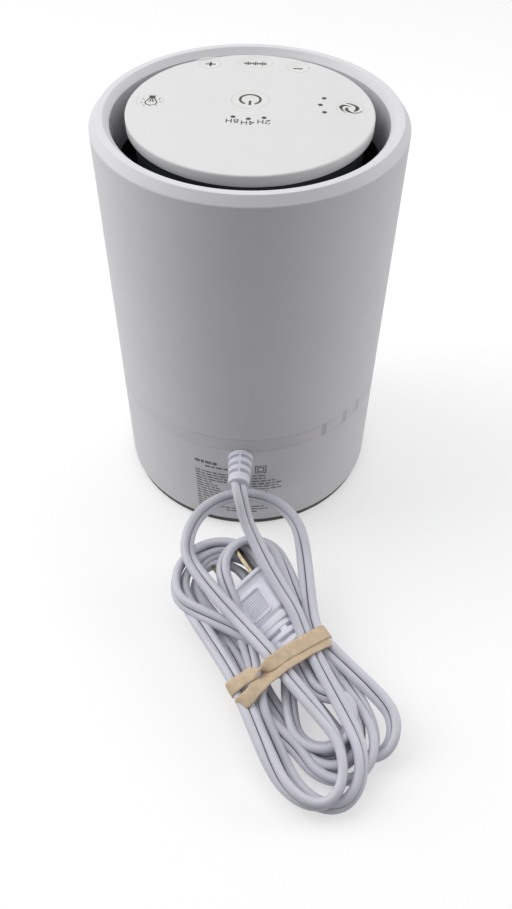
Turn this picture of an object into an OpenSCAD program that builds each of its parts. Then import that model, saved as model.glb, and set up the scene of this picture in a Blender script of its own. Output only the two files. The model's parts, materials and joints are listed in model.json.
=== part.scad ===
// Desktop air purifier with sound machine and night light.
// Round upright body, control panel on top inside a ring-shaped air outlet,
// cylindrical filter that drops out of the base, mains cord tied in a hank.
// +Z is up, the origin is the middle of the base, the cord leaves at -Y.

/* [Body] */
// Outer diameter of the body
body_d = 120; // [119:0.5:121]
// Height of the control panel's top face above the floor
panel_top = 177.8; // [176.5:0.1:179]
// Wall thickness of the outer shells
wall = 2.4; // [2.2:0.1:2.6]
// Height of the dark foot ring
foot_h = 3.8; // [3.6:0.1:4]
// Height of the lower seam, where the light ring starts
seam_low = 53.6; // [53.4:0.1:53.8]
// Height of the translucent light ring
light_h = 7; // [6.8:0.1:7.2]

/* [Outlet rim] */
// Height of the sloping edge round the rim
rim_slope_h = 3.3; // [2.5:0.1:4]
// Outer radius of the flat land on the rim
land_ro = 57.3; // [56.8:0.1:58]
// Inner radius of the flat land on the rim
land_ri = 54.7; // [54.3:0.1:55.1]
// Depth of the rim's land below the panel's top face
land_drop = 0.4; // [0:0.1:1]

/* [Control panel] */
// Radius of the control panel
panel_r = 46.4; // [46:0.1:47]
// Height of the panel's side wall
panel_skirt = 4.4; // [3.9:0.1:4.9]
// Gap round each button
button_gap = 0.2; // [0.15:0.05:0.3]

/* [Fan] */
// Radius of the impeller
impeller_r = 41; // [38:0.5:42]
// Number of impeller blades
impeller_blades = 9; // [7:1:13]
// Number of fixed vanes in the finger guard
guard_vanes = 32; // [24:1:36]

/* [Filter] */
// Outer radius of the filter cartridge
filter_r = 44; // [42:0.5:45]
// Height of the filter cartridge
filter_h = 50; // [46:1:50]
// Number of pleats in the filter
pleats = 48; // [36:1:60]

/* [Cord] */
// Width of the flat cord
cord_w = 6.8; // [6.4:0.1:7.2]
// Thickness of the hank
hank_t = 18; // [16:0.5:20]
// Width of the rubber band
band_w = 8; // [6:0.5:10]

/* [Hidden] */
$fn = 96;
body_r = body_d / 2;
inner_r = body_r - wall;
seam_high = seam_low + light_h;
land_z = panel_top - land_drop;
slope_z = land_z - rim_slope_h;
fit = 0.05;             // clearance between parts that slot together

lip_r = body_r - 1.3;   // outer radius of the lips that locate the shells
lip_h = 1.4;
ledge_z = foot_h + 2.4; // top of the ledge that carries the filter cover
ledge_ri = 53;
notch_r = 55.2;         // the cover's lugs pass the ledge inside this radius
lug_half = 9;           // half width of a lug, degrees
notch_half = 11;
lug_at = [90, 210, 330];

post_r = 55.1;          // circle of the four housing screws
post_boss_r = 2.6;
post_at = [45, 135, 225, 315];
deck_z = 59.6;          // underside of the fan deck
deck_t = 2.4;
deck_top = deck_z + deck_t;

duct_ri = 51;
duct_ro = 52.4;
throat_r = 52.4;        // the rim's flare narrows to this radius
duct_top = 158;
bowl_steps = 8;

core_r = 43.5;          // drum in the middle of the air channel
core_wall = 1.6;
core_z = 98;
core_floor = 2.4;
core_top = 173.5;
lead_z = 115;           // height where the supply lead crosses the air channel

shaft_r = 2;
motor_r = 18;
motor_h = 18;
motor_z = core_z + core_floor;
motor_screw_r = 13;
board_z = 125;
pcb_t = 1.6;

panel_t = 2.2;          // thickness of the panel's top plate
panel_z = panel_top - panel_t;
control_z = 167;        // underside of the control board
button_travel = 0.5;
switch_top = control_z + pcb_t + 2.2;

power_at = [-0.3, 7.5];
light_at = [-37.8, 3.8];
fan_at = [37.2, 3.6];
sound_at = [0, 39.2];
plus_at = [-18, 36.8];
minus_at = [17.3, 35.9];
power_r = 7;
side_r = 5;
small_r = 4.2;
tab_at = [22, 202, 262, 322];  // snap tabs that hold the panel on the drum
sound_r = 4.4;
sound_half = 2.4;       // half the distance between the sound button's round ends
timer_at = [[-6, -6.2], [-0.3, -7.4], [5.4, -6.2]];
speed_at = [[27.4, 10.5], [26, 5.2], [27.5, -0.4]];
lens_r = 0.9;

cover_z = 1.4;          // the filter cover hangs clear of the floor
cover_t = 2;
cover_r = 52.3;
filter_z = 6.2;
cap_t = 2;
media_ri = 28;
filter_top = filter_z + filter_h;

relief_z = 49.6;        // height of the cord's strain relief
relief_r = 5.5;
relief_end_r = 4.5;
relief_len = 15.5;
neck_r = 3.7;
relief_y = -body_r - 0.1;
relief_rings = 4;

// Route of the cord from the strain relief to the hank
lead_route = [[0, relief_y - relief_len, relief_z], [0.8, -79, 48.6], [2.2, -83, 45.5],
              [4, -87.5, 41], [7.5, -93, 37.5], [13, -99.5, 34], [20, -105.5, 31]];
lead_sides = 10;
lead_steps = 3;         // rings for each stretch between two route points

// The hank lies with its far end on the floor and leans on the body
hank_foot_y = -195;
hank_tilt = 6.5;
waist = [21, -142];     // middle of the rubber band
hank_turn = -55;        // direction of the hank's runs, degrees
waist_half = 23.5;
band_t = 1.2;
plug_at = [4.8, -105, -1.5];
plug_turn = -55;
plug_roll = 30;
plug_pitch = 3;
plug_w = 24;
plug_t = 13;
plug_body_len = 25;
plug_len = 40;
flange_t = 3;
blade_gap = 12.7;
blade_w = 6.35;
blade_t = 1.5;
blade_len = 16.5;

// ---------- shared shapes ----------

module tube(ro, ri, z0, z1) {
    translate([0, 0, z0]) difference() {
        cylinder(r = ro, h = z1 - z0);
        translate([0, 0, -1]) cylinder(r = ri, h = z1 - z0 + 2);
    }
}

module disc(r, z0, z1) {
    translate([0, 0, z0]) cylinder(r = r, h = z1 - z0);
}

// Part of a ring, centred on the given angle
module arc_block(ro, ri, z0, z1, at, half) {
    rotate([0, 0, at - half]) rotate_extrude(angle = 2 * half)
        translate([ri, z0]) square([ro - ri, z1 - z0]);
}

module on_circle(r, angles) {
    for (a = angles) rotate([0, 0, a]) translate([r, 0, 0]) children();
}

module rod(a, b, r) {
    d = b - a;
    translate(a) rotate([0, acos(d[2] / norm(d)), atan2(d[1], d[0])]) cylinder(r = r, h = norm(d), $fn = 24);
}

// Round wire along straight stretches with ball corners
module wire(points, r) {
    for (i = [0 : len(points) - 2]) rod(points[i], points[i + 1], r);
    for (i = [1 : len(points) - 2]) translate(points[i]) sphere(r = 1.06 * r, $fn = 24);
}

// Cross-head screw whose head bears on head_z and whose shank ends at tip_z
module screw(head_z, tip_z, head_r, shank_r) {
    head_h = 1.6;
    slot_w = 0.7;
    slot_len = head_r * 1.4;
    up = tip_z > head_z;
    translate([0, 0, up ? head_z - head_h : head_z]) difference() {
        cylinder(r = head_r, h = head_h, $fn = 32);
        for (a = [0, 90]) rotate([0, 0, a])
            translate([-slot_w / 2, -slot_len / 2, up ? -0.1 : head_h / 2 + 0.1]) cube([slot_w, slot_len, 0.8]);
    }
    translate([0, 0, min(head_z, tip_z)]) cylinder(r = shank_r, h = abs(tip_z - head_z), $fn = 32);
}

// ---------- outer shells ----------

module foot_ring() {
    notch_h = 2.2;
    color([0.27, 0.27, 0.25]) difference() {
        rotate_extrude() polygon([[55.5, 0], [58.5, 0], [59, 0.5], [59, foot_h], [55.5, foot_h]]);
        for (a = [15 : 30 : 165]) arc_block(60, 55, -1, notch_h, a, 8);
    }
}

module base_housing() {
    edge = 0.6;
    color([0.93, 0.93, 0.94]) difference() {
        union() {
            rotate_extrude() polygon([
                [ledge_ri, foot_h], [body_r - edge, foot_h], [body_r, foot_h + edge], [body_r, seam_low],
                [lip_r, seam_low], [lip_r, seam_low + lip_h], [inner_r, seam_low + lip_h],
                [inner_r, ledge_z], [ledge_ri, ledge_z]]);
            for (a = lug_at) arc_block(inner_r + 0.2, 53.2, ledge_z - 0.2, ledge_z + 2.8, a + 31, 1);
            on_circle(post_r, post_at) translate([0, 0, seam_low - 7]) {
                cylinder(r = post_boss_r, h = 7, $fn = 32);
                translate([0, -1.5, 0]) cube([3.6, 3, 7]);
            }
        }
        for (a = lug_at) arc_block(notch_r, ledge_ri - 1, foot_h - 1, ledge_z + 1, a, notch_half);
        on_circle(post_r, post_at) translate([0, 0, seam_low - 8]) cylinder(r = 1.4, h = 12, $fn = 32);
        // slot that the strain relief drops into
        translate([0, -inner_r + 3, relief_z]) rotate([90, 0, 0]) cylinder(r = neck_r + fit, h = 10);
        translate([-neck_r - fit, -body_r - 2, relief_z]) cube([2 * (neck_r + fit), 6, 10]);
    }
}

module light_ring() {
    mid_ri = 58.2;
    color([0.95, 0.95, 0.93]) rotate_extrude() polygon([
        [lip_r + fit, seam_low], [body_r, seam_low], [body_r, seam_high], [lip_r + fit, seam_high],
        [lip_r + fit, seam_high - lip_h - fit], [mid_ri, seam_high - lip_h - fit],
        [mid_ri, seam_low + lip_h + fit], [lip_r + fit, seam_low + lip_h + fit]]);
}

module outer_sleeve() {
    lip_t = 2.4;
    color([0.93, 0.93, 0.94]) difference() {
        union() {
            rotate_extrude() polygon([
                [inner_r, seam_high - lip_h], [lip_r, seam_high - lip_h], [lip_r, seam_high],
                [body_r, seam_high], [body_r, slope_z], [land_ro, land_z], [land_ri + 0.3, land_z],
                [land_ri, land_z - 0.3], [throat_r, land_z - lip_t], [inner_r, land_z - lip_t]]);
            on_circle(post_r, post_at) translate([0, 0, deck_top]) {
                cylinder(r = post_boss_r, h = 12, $fn = 32);
                translate([0, -1.5, 0]) cube([3.6, 3, 12]);
            }
        }
        on_circle(post_r, post_at) translate([0, 0, deck_top - 1]) cylinder(r = 1.05, h = 11, $fn = 32);
    }
}

// Smooth inner funnel under the rim
module outlet_bowl() {
    top = land_z - 2.4;
    function bowl_r(t) = duct_ri + (throat_r - duct_ri) * (1 - cos(90 * t));
    color([0.9, 0.9, 0.91]) rotate_extrude() polygon(concat(
        [for (i = [0 : bowl_steps]) [bowl_r(i / bowl_steps), duct_top + (top - duct_top) * i / bowl_steps]],
        [[inner_r - 0.1, top], [inner_r - 0.1, top - 2.4], [duct_ro, duct_top]]));
}

module housing_screws() {
    color([0.6, 0.6, 0.62]) on_circle(post_r, post_at) screw(seam_low - 7, deck_top + 8, 2.3, 1.05);
}

// ---------- light ring electronics ----------

module light_strip() {
    strip_ri = 56.9;
    strip_ro = 57.3;
    color([0.88, 0.9, 0.8]) {
        arc_block(strip_ro, strip_ri, seam_low + 1.6, deck_z, 90, 160);
        for (a = [-60 : 20 : 240]) arc_block(strip_ro + 0.7, strip_ro - 0.1, 56, 58.4, a, 1.6);
    }
}

// ---------- air path ----------

module fan_deck() {
    color([0.24, 0.24, 0.25]) difference() {
        union() {
            disc(57.3, deck_z, deck_top);
            tube(24, 22, deck_z, deck_top + 4);
            arc_block(56.85, 56.4, seam_low + 1.6, deck_z + 0.1, 90, 160);
        }
        disc(22, deck_z - 1, deck_top + 5);
        on_circle(post_r, post_at) translate([0, 0, deck_z - 1]) cylinder(r = 1.2, h = 5, $fn = 32);
        translate([0, -55, deck_z - 1]) cylinder(r = 2.2, h = 5, $fn = 32);
    }
}

module air_duct() {
    color([0.2, 0.2, 0.21]) difference() {
        tube(duct_ro, duct_ri, deck_top, duct_top);
        translate([0, -45, lead_z]) rotate([90, 0, 0]) cylinder(r = 2.2, h = 15, $fn = 32);
    }
}

module outlet_guard() {
    z0 = 126;
    z1 = 132;
    color([0.16, 0.16, 0.17]) {
        tube(core_r + 1.2, core_r + fit, z0, z1);
        tube(duct_ri - fit, duct_ri - 1.2, z0, z1);
        for (i = [0 : guard_vanes - 1]) rotate([0, 0, 360 * i / guard_vanes])
            translate([core_r + 0.8, -0.5, z0]) cube([duct_ri - core_r - 1.6, 1, z1 - z0]);
    }
}

// Drum that holds the motor, boards and speaker, on vanes across the air channel
module diffuser_core() {
    vane_top = 122;
    color([0.18, 0.18, 0.19]) difference() {
        union() {
            tube(core_r, core_r - core_wall, core_z, core_top);
            disc(core_r - 0.5, core_z, motor_z);
            tube(duct_ri - fit, duct_ri - 1.1, 104, 108);
            tube(core_r - 0.5, core_r - core_wall - 1, 154.5, 156);
            for (a = [30 : 40 : 350]) if (a != 270) rotate([0, 0, a])
                translate([core_r - 0.4, -0.8, 104]) cube([duct_ri - core_r - 0.2, 1.6, vane_top - 104]);
            rotate([0, 0, 270]) translate([core_r - 0.4, -3, 104]) cube([duct_ri - core_r, 6, vane_top - 104]);
            on_circle(34, post_at) translate([0, 0, motor_z - 0.1]) cylinder(r = 2.6, h = board_z - motor_z + 0.1, $fn = 32);
            on_circle(39.2, post_at) translate([0, 0, 150]) cylinder(r = 3, h = control_z - 150, $fn = 32);
        }
        disc(4.7, core_z - 1, motor_z + 1);
        on_circle(motor_screw_r, [90, 210, 330]) translate([0, 0, core_z - 1]) cylinder(r = 1.3, h = 5, $fn = 32);
        on_circle(34, post_at) translate([0, 0, board_z - 9]) cylinder(r = 1, h = 10, $fn = 32);
        on_circle(39.2, post_at) translate([0, 0, control_z - 9]) cylinder(r = 1, h = 10, $fn = 32);
        translate([0, -38, lead_z]) rotate([90, 0, 0]) cylinder(r = 2.2, h = 15, $fn = 32);
    }
}

// ---------- motor and fan ----------

module fan_motor() {
    color([0.55, 0.56, 0.58]) translate([0, 0, motor_z]) difference() {
        union() {
            cylinder(r = motor_r, h = motor_h - 2);
            cylinder(r = 7, h = motor_h);
        }
        translate([0, 0, -1]) cylinder(r = 2.6, h = motor_h + 2, $fn = 32);
        translate([0, 0, -1]) cylinder(r = 4.5, h = 4.2, $fn = 48);
        translate([0, 0, motor_h - 3.2]) cylinder(r = 4.5, h = 4, $fn = 48);
        on_circle(motor_screw_r, [90, 210, 330]) translate([0, 0, -1]) cylinder(r = 1, h = 5, $fn = 32);
    }
}

module motor_bearings() {
    color([0.75, 0.75, 0.77]) {
        tube(4.5, shaft_r + 0.03, motor_z + 0.2, motor_z + 3.2);
        tube(4.5, shaft_r + 0.03, motor_z + motor_h - 3.2, motor_z + motor_h - 0.2);
    }
}

module motor_screws() {
    color([0.6, 0.6, 0.62]) on_circle(motor_screw_r, [90, 210, 330]) screw(core_z, motor_z + 3.6, 2.2, 1);
}

module motor_shaft() {
    color([0.8, 0.8, 0.82]) disc(shaft_r, 69.6, motor_z + motor_h - 1.5);
}

module impeller() {
    top_z = 93.5;
    shroud_z = 70;
    color([0.3, 0.31, 0.33]) difference() {
        union() {
            disc(impeller_r, top_z, top_z + 2);
            disc(7, 74, 97);
            tube(impeller_r, 25.5, shroud_z, shroud_z + 1.6);
            for (i = [0 : impeller_blades - 1]) rotate([0, 0, 360 * i / impeller_blades])
                translate([0, 0, shroud_z + 1.5]) linear_extrude(top_z - shroud_z - 1.4) intersection() {
                    difference() { circle(r = impeller_r - 0.3); circle(r = 23); }
                    translate([13, 19]) difference() { circle(r = 22.8); circle(r = 21.4); }
                    translate([10, -12]) square([40, 30]);
                }
        }
        disc(shaft_r, 60, 100);
    }
}

module impeller_nut() {
    color([0.75, 0.75, 0.77]) difference() {
        translate([0, 0, 71]) cylinder(r = 3.6, h = 3, $fn = 6);
        disc(shaft_r, 70, 75);
    }
}

// ---------- electronics ----------

module main_board() {
    color([0.15, 0.4, 0.2]) {
        difference() {
            disc(37, board_z, board_z + pcb_t);
            on_circle(34, post_at) translate([0, 0, board_z - 1]) cylinder(r = 1.3, h = 4, $fn = 32);
        }
        translate([-22, -12, board_z + pcb_t]) cube([18, 16, 13]);
        translate([6, -14, board_z + pcb_t]) cylinder(r = 5, h = 15, $fn = 48);
        translate([17, -10, board_z + pcb_t]) cylinder(r = 4, h = 10, $fn = 48);
        translate([-6, 12, board_z + pcb_t]) cube([12, 12, 1.5]);
        translate([14, 6, board_z + pcb_t]) cube([8, 5, 6]);
        translate([-5, -31, board_z + pcb_t]) cube([10, 8, 9]);
    }
}

module board_screws() {
    color([0.6, 0.6, 0.62]) on_circle(34, post_at) screw(board_z + pcb_t, board_z - 6, 2.2, 1);
}

module speaker() {
    color([0.2, 0.2, 0.22]) difference() {
        rotate_extrude() polygon([[0, 144], [9, 144], [9, 149], [15, 154], [17, 154], [17, 156], [0, 156]]);
        translate([0, 0, 152.5]) cylinder(r1 = 6, r2 = 14.5, h = 4);
    }
}

module speaker_bracket() {
    color([0.24, 0.24, 0.25]) difference() {
        disc(core_r - core_wall - fit, 156, 158);
        disc(14, 155, 159);
        on_circle(39.2, post_at) translate([0, 0, 155]) cylinder(r = 3 + fit, h = 4, $fn = 32);
        translate([0, -34, 155]) cylinder(r = 3, h = 4, $fn = 32);
    }
}

module control_board() {
    color([0.15, 0.4, 0.2]) difference() {
        disc(41.5, control_z, control_z + pcb_t);
        on_circle(39.2, post_at) translate([0, 0, control_z - 1]) cylinder(r = 1.2, h = 4, $fn = 32);
    }
}

module control_board_screws() {
    color([0.6, 0.6, 0.62]) on_circle(39.2, post_at) screw(control_z + pcb_t, control_z - 6, 2, 1);
}

// The switches near the rim sit a little nearer the middle than their caps
function inward(p) = norm(p) > 30 ? -2.4 * p / norm(p) : [0, 0];

module tact_switches() {
    body = 6;
    color([0.12, 0.12, 0.13])
        for (p = [power_at, light_at, fan_at, sound_at, plus_at, minus_at])
            translate([p[0] + inward(p)[0], p[1] + inward(p)[1], control_z + pcb_t]) {
                rotate([0, 0, atan2(p[1], p[0])]) translate([-body / 2, -body / 2, 0]) cube([body, body, 1.6]);
                translate([0, 0, 1.5]) cylinder(r = 1.7, h = 0.7, $fn = 24);
            }
}

module supply_lead() {
    color([0.85, 0.85, 0.86]) wire([
        [0, -56, relief_z], [0, -53.4, relief_z], [0, -53.4, 54.4], [0, -55, 58], [0, -55, 112.6], [0, -52.6, lead_z],
        [0, -31, lead_z], [0, -31, board_z]], 1.7);
}

// ---------- control panel ----------

module sound_outline(extra) {
    for (s = [-1, 1]) translate([s * sound_half, 0]) circle(r = sound_r + extra, $fn = 64);
    square([2 * sound_half, 2 * (sound_r + extra)], center = true);
}

module control_panel() {
    edge = 0.5;
    hole = button_gap;
    color([0.9, 0.9, 0.91]) {
        difference() {
            rotate_extrude() polygon([[0, panel_z], [panel_r - 2, panel_z], [panel_r - 2, panel_top - panel_skirt],
                [panel_r, panel_top - panel_skirt], [panel_r, panel_top - edge], [panel_r - edge, panel_top], [0, panel_top]]);
            translate([power_at[0], power_at[1], panel_z - 1]) cylinder(r = power_r + hole, h = 5, $fn = 64);
            for (p = [light_at, fan_at]) translate([p[0], p[1], panel_z - 1]) cylinder(r = side_r + hole, h = 5, $fn = 64);
            for (p = [plus_at, minus_at]) translate([p[0], p[1], panel_z - 1]) cylinder(r = small_r + hole, h = 5, $fn = 64);
            translate([sound_at[0], sound_at[1], panel_z - 1]) linear_extrude(5) sound_outline(hole);
            for (p = concat(timer_at, speed_at)) translate([p[0], p[1], panel_z - 1]) cylinder(r = lens_r, h = 5, $fn = 32);
        }
        // snap tabs that grip the inside of the drum, and pads that stand on its edge
        for (a = tab_at) {
            arc_block(core_r - core_wall - 0.1, core_r - core_wall - 1.4, 170.4, panel_z + 0.2, a, 6);
            arc_block(core_r, core_r - core_wall - 0.2, core_top, panel_z + 0.2, a, 6);
        }
    }
}

module lenses(points) {
    color([0.3, 0.3, 0.26]) for (p = points)
        translate([p[0], p[1], control_z + pcb_t + 0.2]) cylinder(r = lens_r, h = panel_top - control_z - pcb_t - 0.2, $fn = 32);
}

module timer_lenses() { lenses(timer_at); }
module speed_lenses() { lenses(speed_at); }

// Under each cap: a flange that stays clear of the panel's side wall, and a stem over its switch
module key_foot(at) {
    intersection() {
        translate([at[0], at[1], panel_z - 1.2]) linear_extrude(1) children();
        disc(panel_r - 2.4, panel_z - 2, panel_z);
    }
    translate([at[0] + inward(at)[0], at[1] + inward(at)[1], 0])
        disc(1.6, switch_top + button_travel + 0.1, panel_z - 1.1);
}

module key(at, r) {
    color([0.91, 0.91, 0.92]) {
        translate([at[0], at[1], 0]) disc(r, panel_z - 0.2, panel_top);
        key_foot(at) circle(r = r + 0.7);
    }
}

module power_button() { key(power_at, power_r); }
module light_button() { key(light_at, side_r); }
module fan_button() { key(fan_at, side_r); }
module volume_up_button() { key(plus_at, small_r); }
module volume_down_button() { key(minus_at, small_r); }

module sound_button() {
    color([0.91, 0.91, 0.92]) {
        translate([sound_at[0], sound_at[1], panel_z - 0.2]) linear_extrude(panel_t + 0.2) sound_outline(0);
        key_foot(sound_at) sound_outline(0.7);
    }
}

// ---------- filter ----------

module filter_bottom_cap() {
    color([0.25, 0.27, 0.3]) disc(filter_r, filter_z, filter_z + cap_t);
}

module filter_top_cap() {
    color([0.25, 0.27, 0.3]) tube(filter_r, 22, filter_top - cap_t, filter_top);
}

module filter_media() {
    ro = filter_r - 1.9;
    color([0.96, 0.96, 0.95]) translate([0, 0, filter_z + cap_t]) linear_extrude(filter_h - 2 * cap_t) difference() {
        polygon([for (i = [0 : 2 * pleats - 1]) (i % 2 == 0 ? ro : media_ri + 2.4) * [cos(180 * i / pleats), sin(180 * i / pleats)]]);
        polygon([for (i = [0 : 2 * pleats - 1]) (i % 2 == 0 ? ro - 3.4 : media_ri) * [cos(180 * i / pleats), sin(180 * i / pleats)]]);
    }
}

module filter_prefilter() {
    color([0.35, 0.36, 0.38]) tube(filter_r - 0.9, filter_r - 1.8, filter_z + cap_t, filter_top - cap_t);
}

module filter_carbon_core() {
    color([0.1, 0.1, 0.1]) tube(media_ri - 0.1, media_ri - 2, filter_z + cap_t, filter_top - cap_t);
}

module filter_seal() {
    color([0.12, 0.12, 0.12]) tube(filter_r - 2, 34, filter_top, deck_z - 0.3);
}

module filter_pull_tab() {
    color([0.2, 0.35, 0.6]) rotate([0, 0, -20]) translate([-5, 4, filter_z - 0.8]) cube([10, 24, 0.8]);
}

module filter_cover() {
    plate_z = cover_z + cover_t;
    color([0.3, 0.3, 0.28]) {
        difference() {
            disc(cover_r, cover_z, plate_z);
            for (i = [0 : 35]) if (i % 6 != 2) rotate([0, 0, 10 * i + 10])
                translate([22, -1.3, cover_z - 1]) cube([26, 2.6, cover_t + 2]);
            translate([-10, -1.5, cover_z - 1]) cube([20, 3, 1.9]);
        }
        tube(cover_r, cover_r - 2, plate_z, 9);
        for (a = lug_at) arc_block(notch_r - 0.5, cover_r - 0.3, ledge_z + 0.4, 9, a, lug_half);
        for (a = [30 : 60 : 330]) rotate([0, 0, a])
            translate([20, -0.8, plate_z]) cube([23, 1.6, filter_z - plate_z]);
    }
}

// ---------- cord ----------

function unit(v) = v / norm(v);
function spline_point(p, i, t) =
    let (n = len(p), a = p[max(i - 1, 0)], b = p[i], c = p[i + 1], d = p[min(i + 2, n - 1)])
    0.5 * (2 * b + (c - a) * t + (2 * a - 5 * b + 4 * c - d) * t * t + (3 * b - a - 3 * c + d) * t * t * t);
function smooth_route(p, steps) = concat(
    [for (i = [0 : len(p) - 2]) for (k = [0 : steps - 1]) spline_point(p, i, k / steps)], [p[len(p) - 1]]);
function heading(p, i) = unit(p[min(i + 1, len(p) - 1)] - p[max(i - 1, 0)]);

// Closed tube swept along a list of points, its rings kept level by the X axis
module swept_tube(p, r, sides) {
    rings = len(p);
    points = [for (i = [0 : rings - 1]) let (t = i == 0 ? [0, -1, 0] : heading(p, i), side = unit(cross(t, [0, 0, 1])), up = cross(side, t))
        for (k = [0 : sides - 1]) p[i] + r * (cos(360 * k / sides) * side + sin(360 * k / sides) * up)];
    faces = concat([[for (k = [0 : sides - 1]) k]],
        [for (i = [0 : rings - 2]) for (k = [0 : sides - 1]) let (n = (k + 1) % sides)
            [i * sides + k, (i + 1) * sides + k, (i + 1) * sides + n, i * sides + n]],
        [[for (k = [0 : sides - 1]) (rings - 1) * sides + sides - 1 - k]]);
    polyhedron(points, faces);
}

// Ribbed flexible sleeve along +Z: rings over a thinner core, joined by bridges
module ribbed_sleeve(r0, r1, length, rings) {
    pitch = length / rings;
    groove = pitch * 0.3;
    function r_at(z) = r0 + (r1 - r0) * z / length;
    difference() {
        cylinder(r1 = r0, r2 = r1, h = length);
        for (i = [1 : rings - 1]) translate([0, 0, i * pitch - groove]) difference() {
            cylinder(r = r0 + 1, h = groove);
            translate([0, 0, -1]) cylinder(r = r_at(i * pitch) - 1.5, h = groove + 2);
            translate([-r0 - 1, -1, -1]) cube([2 * r0 + 2, 2, groove + 2]);
        }
    }
}

module strain_relief() {
    inner_len = 1.6;
    color([0.9, 0.9, 0.92]) translate([0, 0, relief_z]) rotate([90, 0, 0]) {
        translate([0, 0, -relief_y]) rotate([0, 0, 90]) ribbed_sleeve(relief_r, relief_end_r, relief_len, relief_rings);
        translate([0, 0, inner_r]) cylinder(r = neck_r, h = -relief_y - inner_r);
        translate([-neck_r, 0, inner_r]) cube([2 * neck_r, seam_low - relief_z, -relief_y - inner_r]);
        translate([0, 0, inner_r - inner_len]) cylinder(r = 4.9, h = inner_len - 0.3);
        translate([0, 0, inner_r - inner_len]) cylinder(r = neck_r - 0.5, h = inner_len + 1);
    }
}

module cord_lead() {
    color([0.9, 0.9, 0.92]) swept_tube(smooth_route(lead_route, lead_steps), cord_w / 2, lead_sides);
}

module in_hank() {
    translate([0, hank_foot_y, hank_t / 2]) rotate([hank_tilt, 0, 0]) translate([0, -hank_foot_y, 0]) children();
}

module at_waist(from, to) {
    translate(waist) rotate([0, 0, hank_turn]) translate([from, -waist_half]) square([to - from, 2 * waist_half]);
}

module at_plug() {
    translate(plug_at) rotate([0, 0, plug_turn]) rotate([0, -plug_pitch, 0]) rotate([plug_roll, 0, 0]) children();
}

// Envelope of the folded cord, open where the plug is tucked in
module cord_hank() {
    neck = band_w / 2 + 1.5;
    color([0.88, 0.88, 0.9]) in_hank() difference() {
        translate([0, 0, -hank_t / 2]) linear_extrude(hank_t) {
            at_waist(-neck, neck);
            hull() {
                at_waist(-neck, 1 - neck);
                translate([3, -85]) circle(r = 24.4, $fn = 32);
                translate([-12, -100]) circle(r = 15, $fn = 32);
            }
            hull() {
                at_waist(neck - 1, neck);
                translate([35.5, -176]) circle(r = 18.5, $fn = 32);
                translate([56, -163]) circle(r = 13, $fn = 32);
            }
        }
        at_plug() translate([-blade_len - 1, -plug_w / 2 - 0.5, -plug_t / 2])
            cube([blade_len + plug_len + 1.3, plug_w + 1, 40]);
    }
}

module rubber_band() {
    outer = 2 * waist_half + 2 * band_t;
    color([0.78, 0.66, 0.47]) in_hank() translate(waist) rotate([0, 0, hank_turn]) difference() {
        cube([band_w, outer, hank_t + 2 * band_t], center = true);
        cube([band_w + 2, 2 * waist_half, hank_t], center = true);
    }
}

module oval(half_w, half_t) {
    for (s = [-1, 1]) translate([0, s * (half_w - half_t)]) circle(r = half_t, $fn = 48);
    square([2 * half_t, 2 * (half_w - half_t)], center = true);
}

// Flat ribbed sleeve along +Z, from half width w0 to w1: oval rings on a thinner core, joined at the middle
module flat_sleeve(w0, w1, half_t, length) {
    pitch = length / relief_rings;
    groove = pitch * 0.36;
    deep = 1.5;
    linear_extrude(length) oval(w1 - deep, half_t - deep);
    translate([-half_t, -1, 0]) cube([2 * half_t, 2, length]);
    for (i = [0 : relief_rings - 1]) let (last = i == relief_rings - 1)
        translate([0, 0, i * pitch]) linear_extrude(last ? pitch : pitch - groove) oval(w0 + (w1 - w0) * i / (relief_rings - 1), half_t);
}

module plug_body() {
    color([0.88, 0.88, 0.92]) in_hank() at_plug() {
        translate([0, -plug_w / 2, -plug_t / 2]) cube([flange_t, plug_w, plug_t]);
        translate([0, 0, -plug_t / 2 + 0.6]) linear_extrude(plug_t - 1.2) polygon([
            [flange_t - 1, -plug_w / 2 + 1], [flange_t - 1, plug_w / 2 - 1],
            [plug_body_len - 5, plug_w / 2 - 2.2], [plug_body_len, 8.5],
            [plug_body_len, -8.5], [plug_body_len - 5, -plug_w / 2 + 2.2]]);
        translate([plug_body_len - 1, 0, 0]) rotate([0, 90, 0]) flat_sleeve(9, 8.3, 4.6, plug_len - plug_body_len + 1);
    }
}

module plug_blades() {
    color([0.7, 0.68, 0.6]) in_hank() at_plug() for (s = [-1, 1])
        translate([-blade_len, s * blade_gap / 2 - blade_t / 2, -blade_w / 2]) difference() {
            cube([blade_len, blade_t, blade_w]);
            translate([3.5, -1, blade_w / 2]) rotate([-90, 0, 0]) cylinder(r = 1.5, h = 4, $fn = 24);
        }
}

foot_ring();
base_housing();
light_ring();
light_strip();
outer_sleeve();
outlet_bowl();
air_duct();
outlet_guard();
diffuser_core();
fan_deck();
housing_screws();
fan_motor();
motor_bearings();
motor_screws();
main_board();
board_screws();
speaker();
speaker_bracket();
control_board();
tact_switches();
control_board_screws();
control_panel();
timer_lenses();
speed_lenses();
strain_relief();
supply_lead();
motor_shaft();
impeller();
impeller_nut();
filter_bottom_cap();
filter_top_cap();
filter_media();
filter_prefilter();
filter_carbon_core();
filter_seal();
filter_pull_tab();
filter_cover();
power_button();
light_button();
fan_button();
sound_button();
volume_up_button();
volume_down_button();
cord_lead();
cord_hank();
rubber_band();
plug_body();
plug_blades();
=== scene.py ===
import json
import math

import bmesh
import bpy
import numpy as np
from mathutils import Matrix, Vector
from mathutils.geometry import delaunay_2d_cdt


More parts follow.
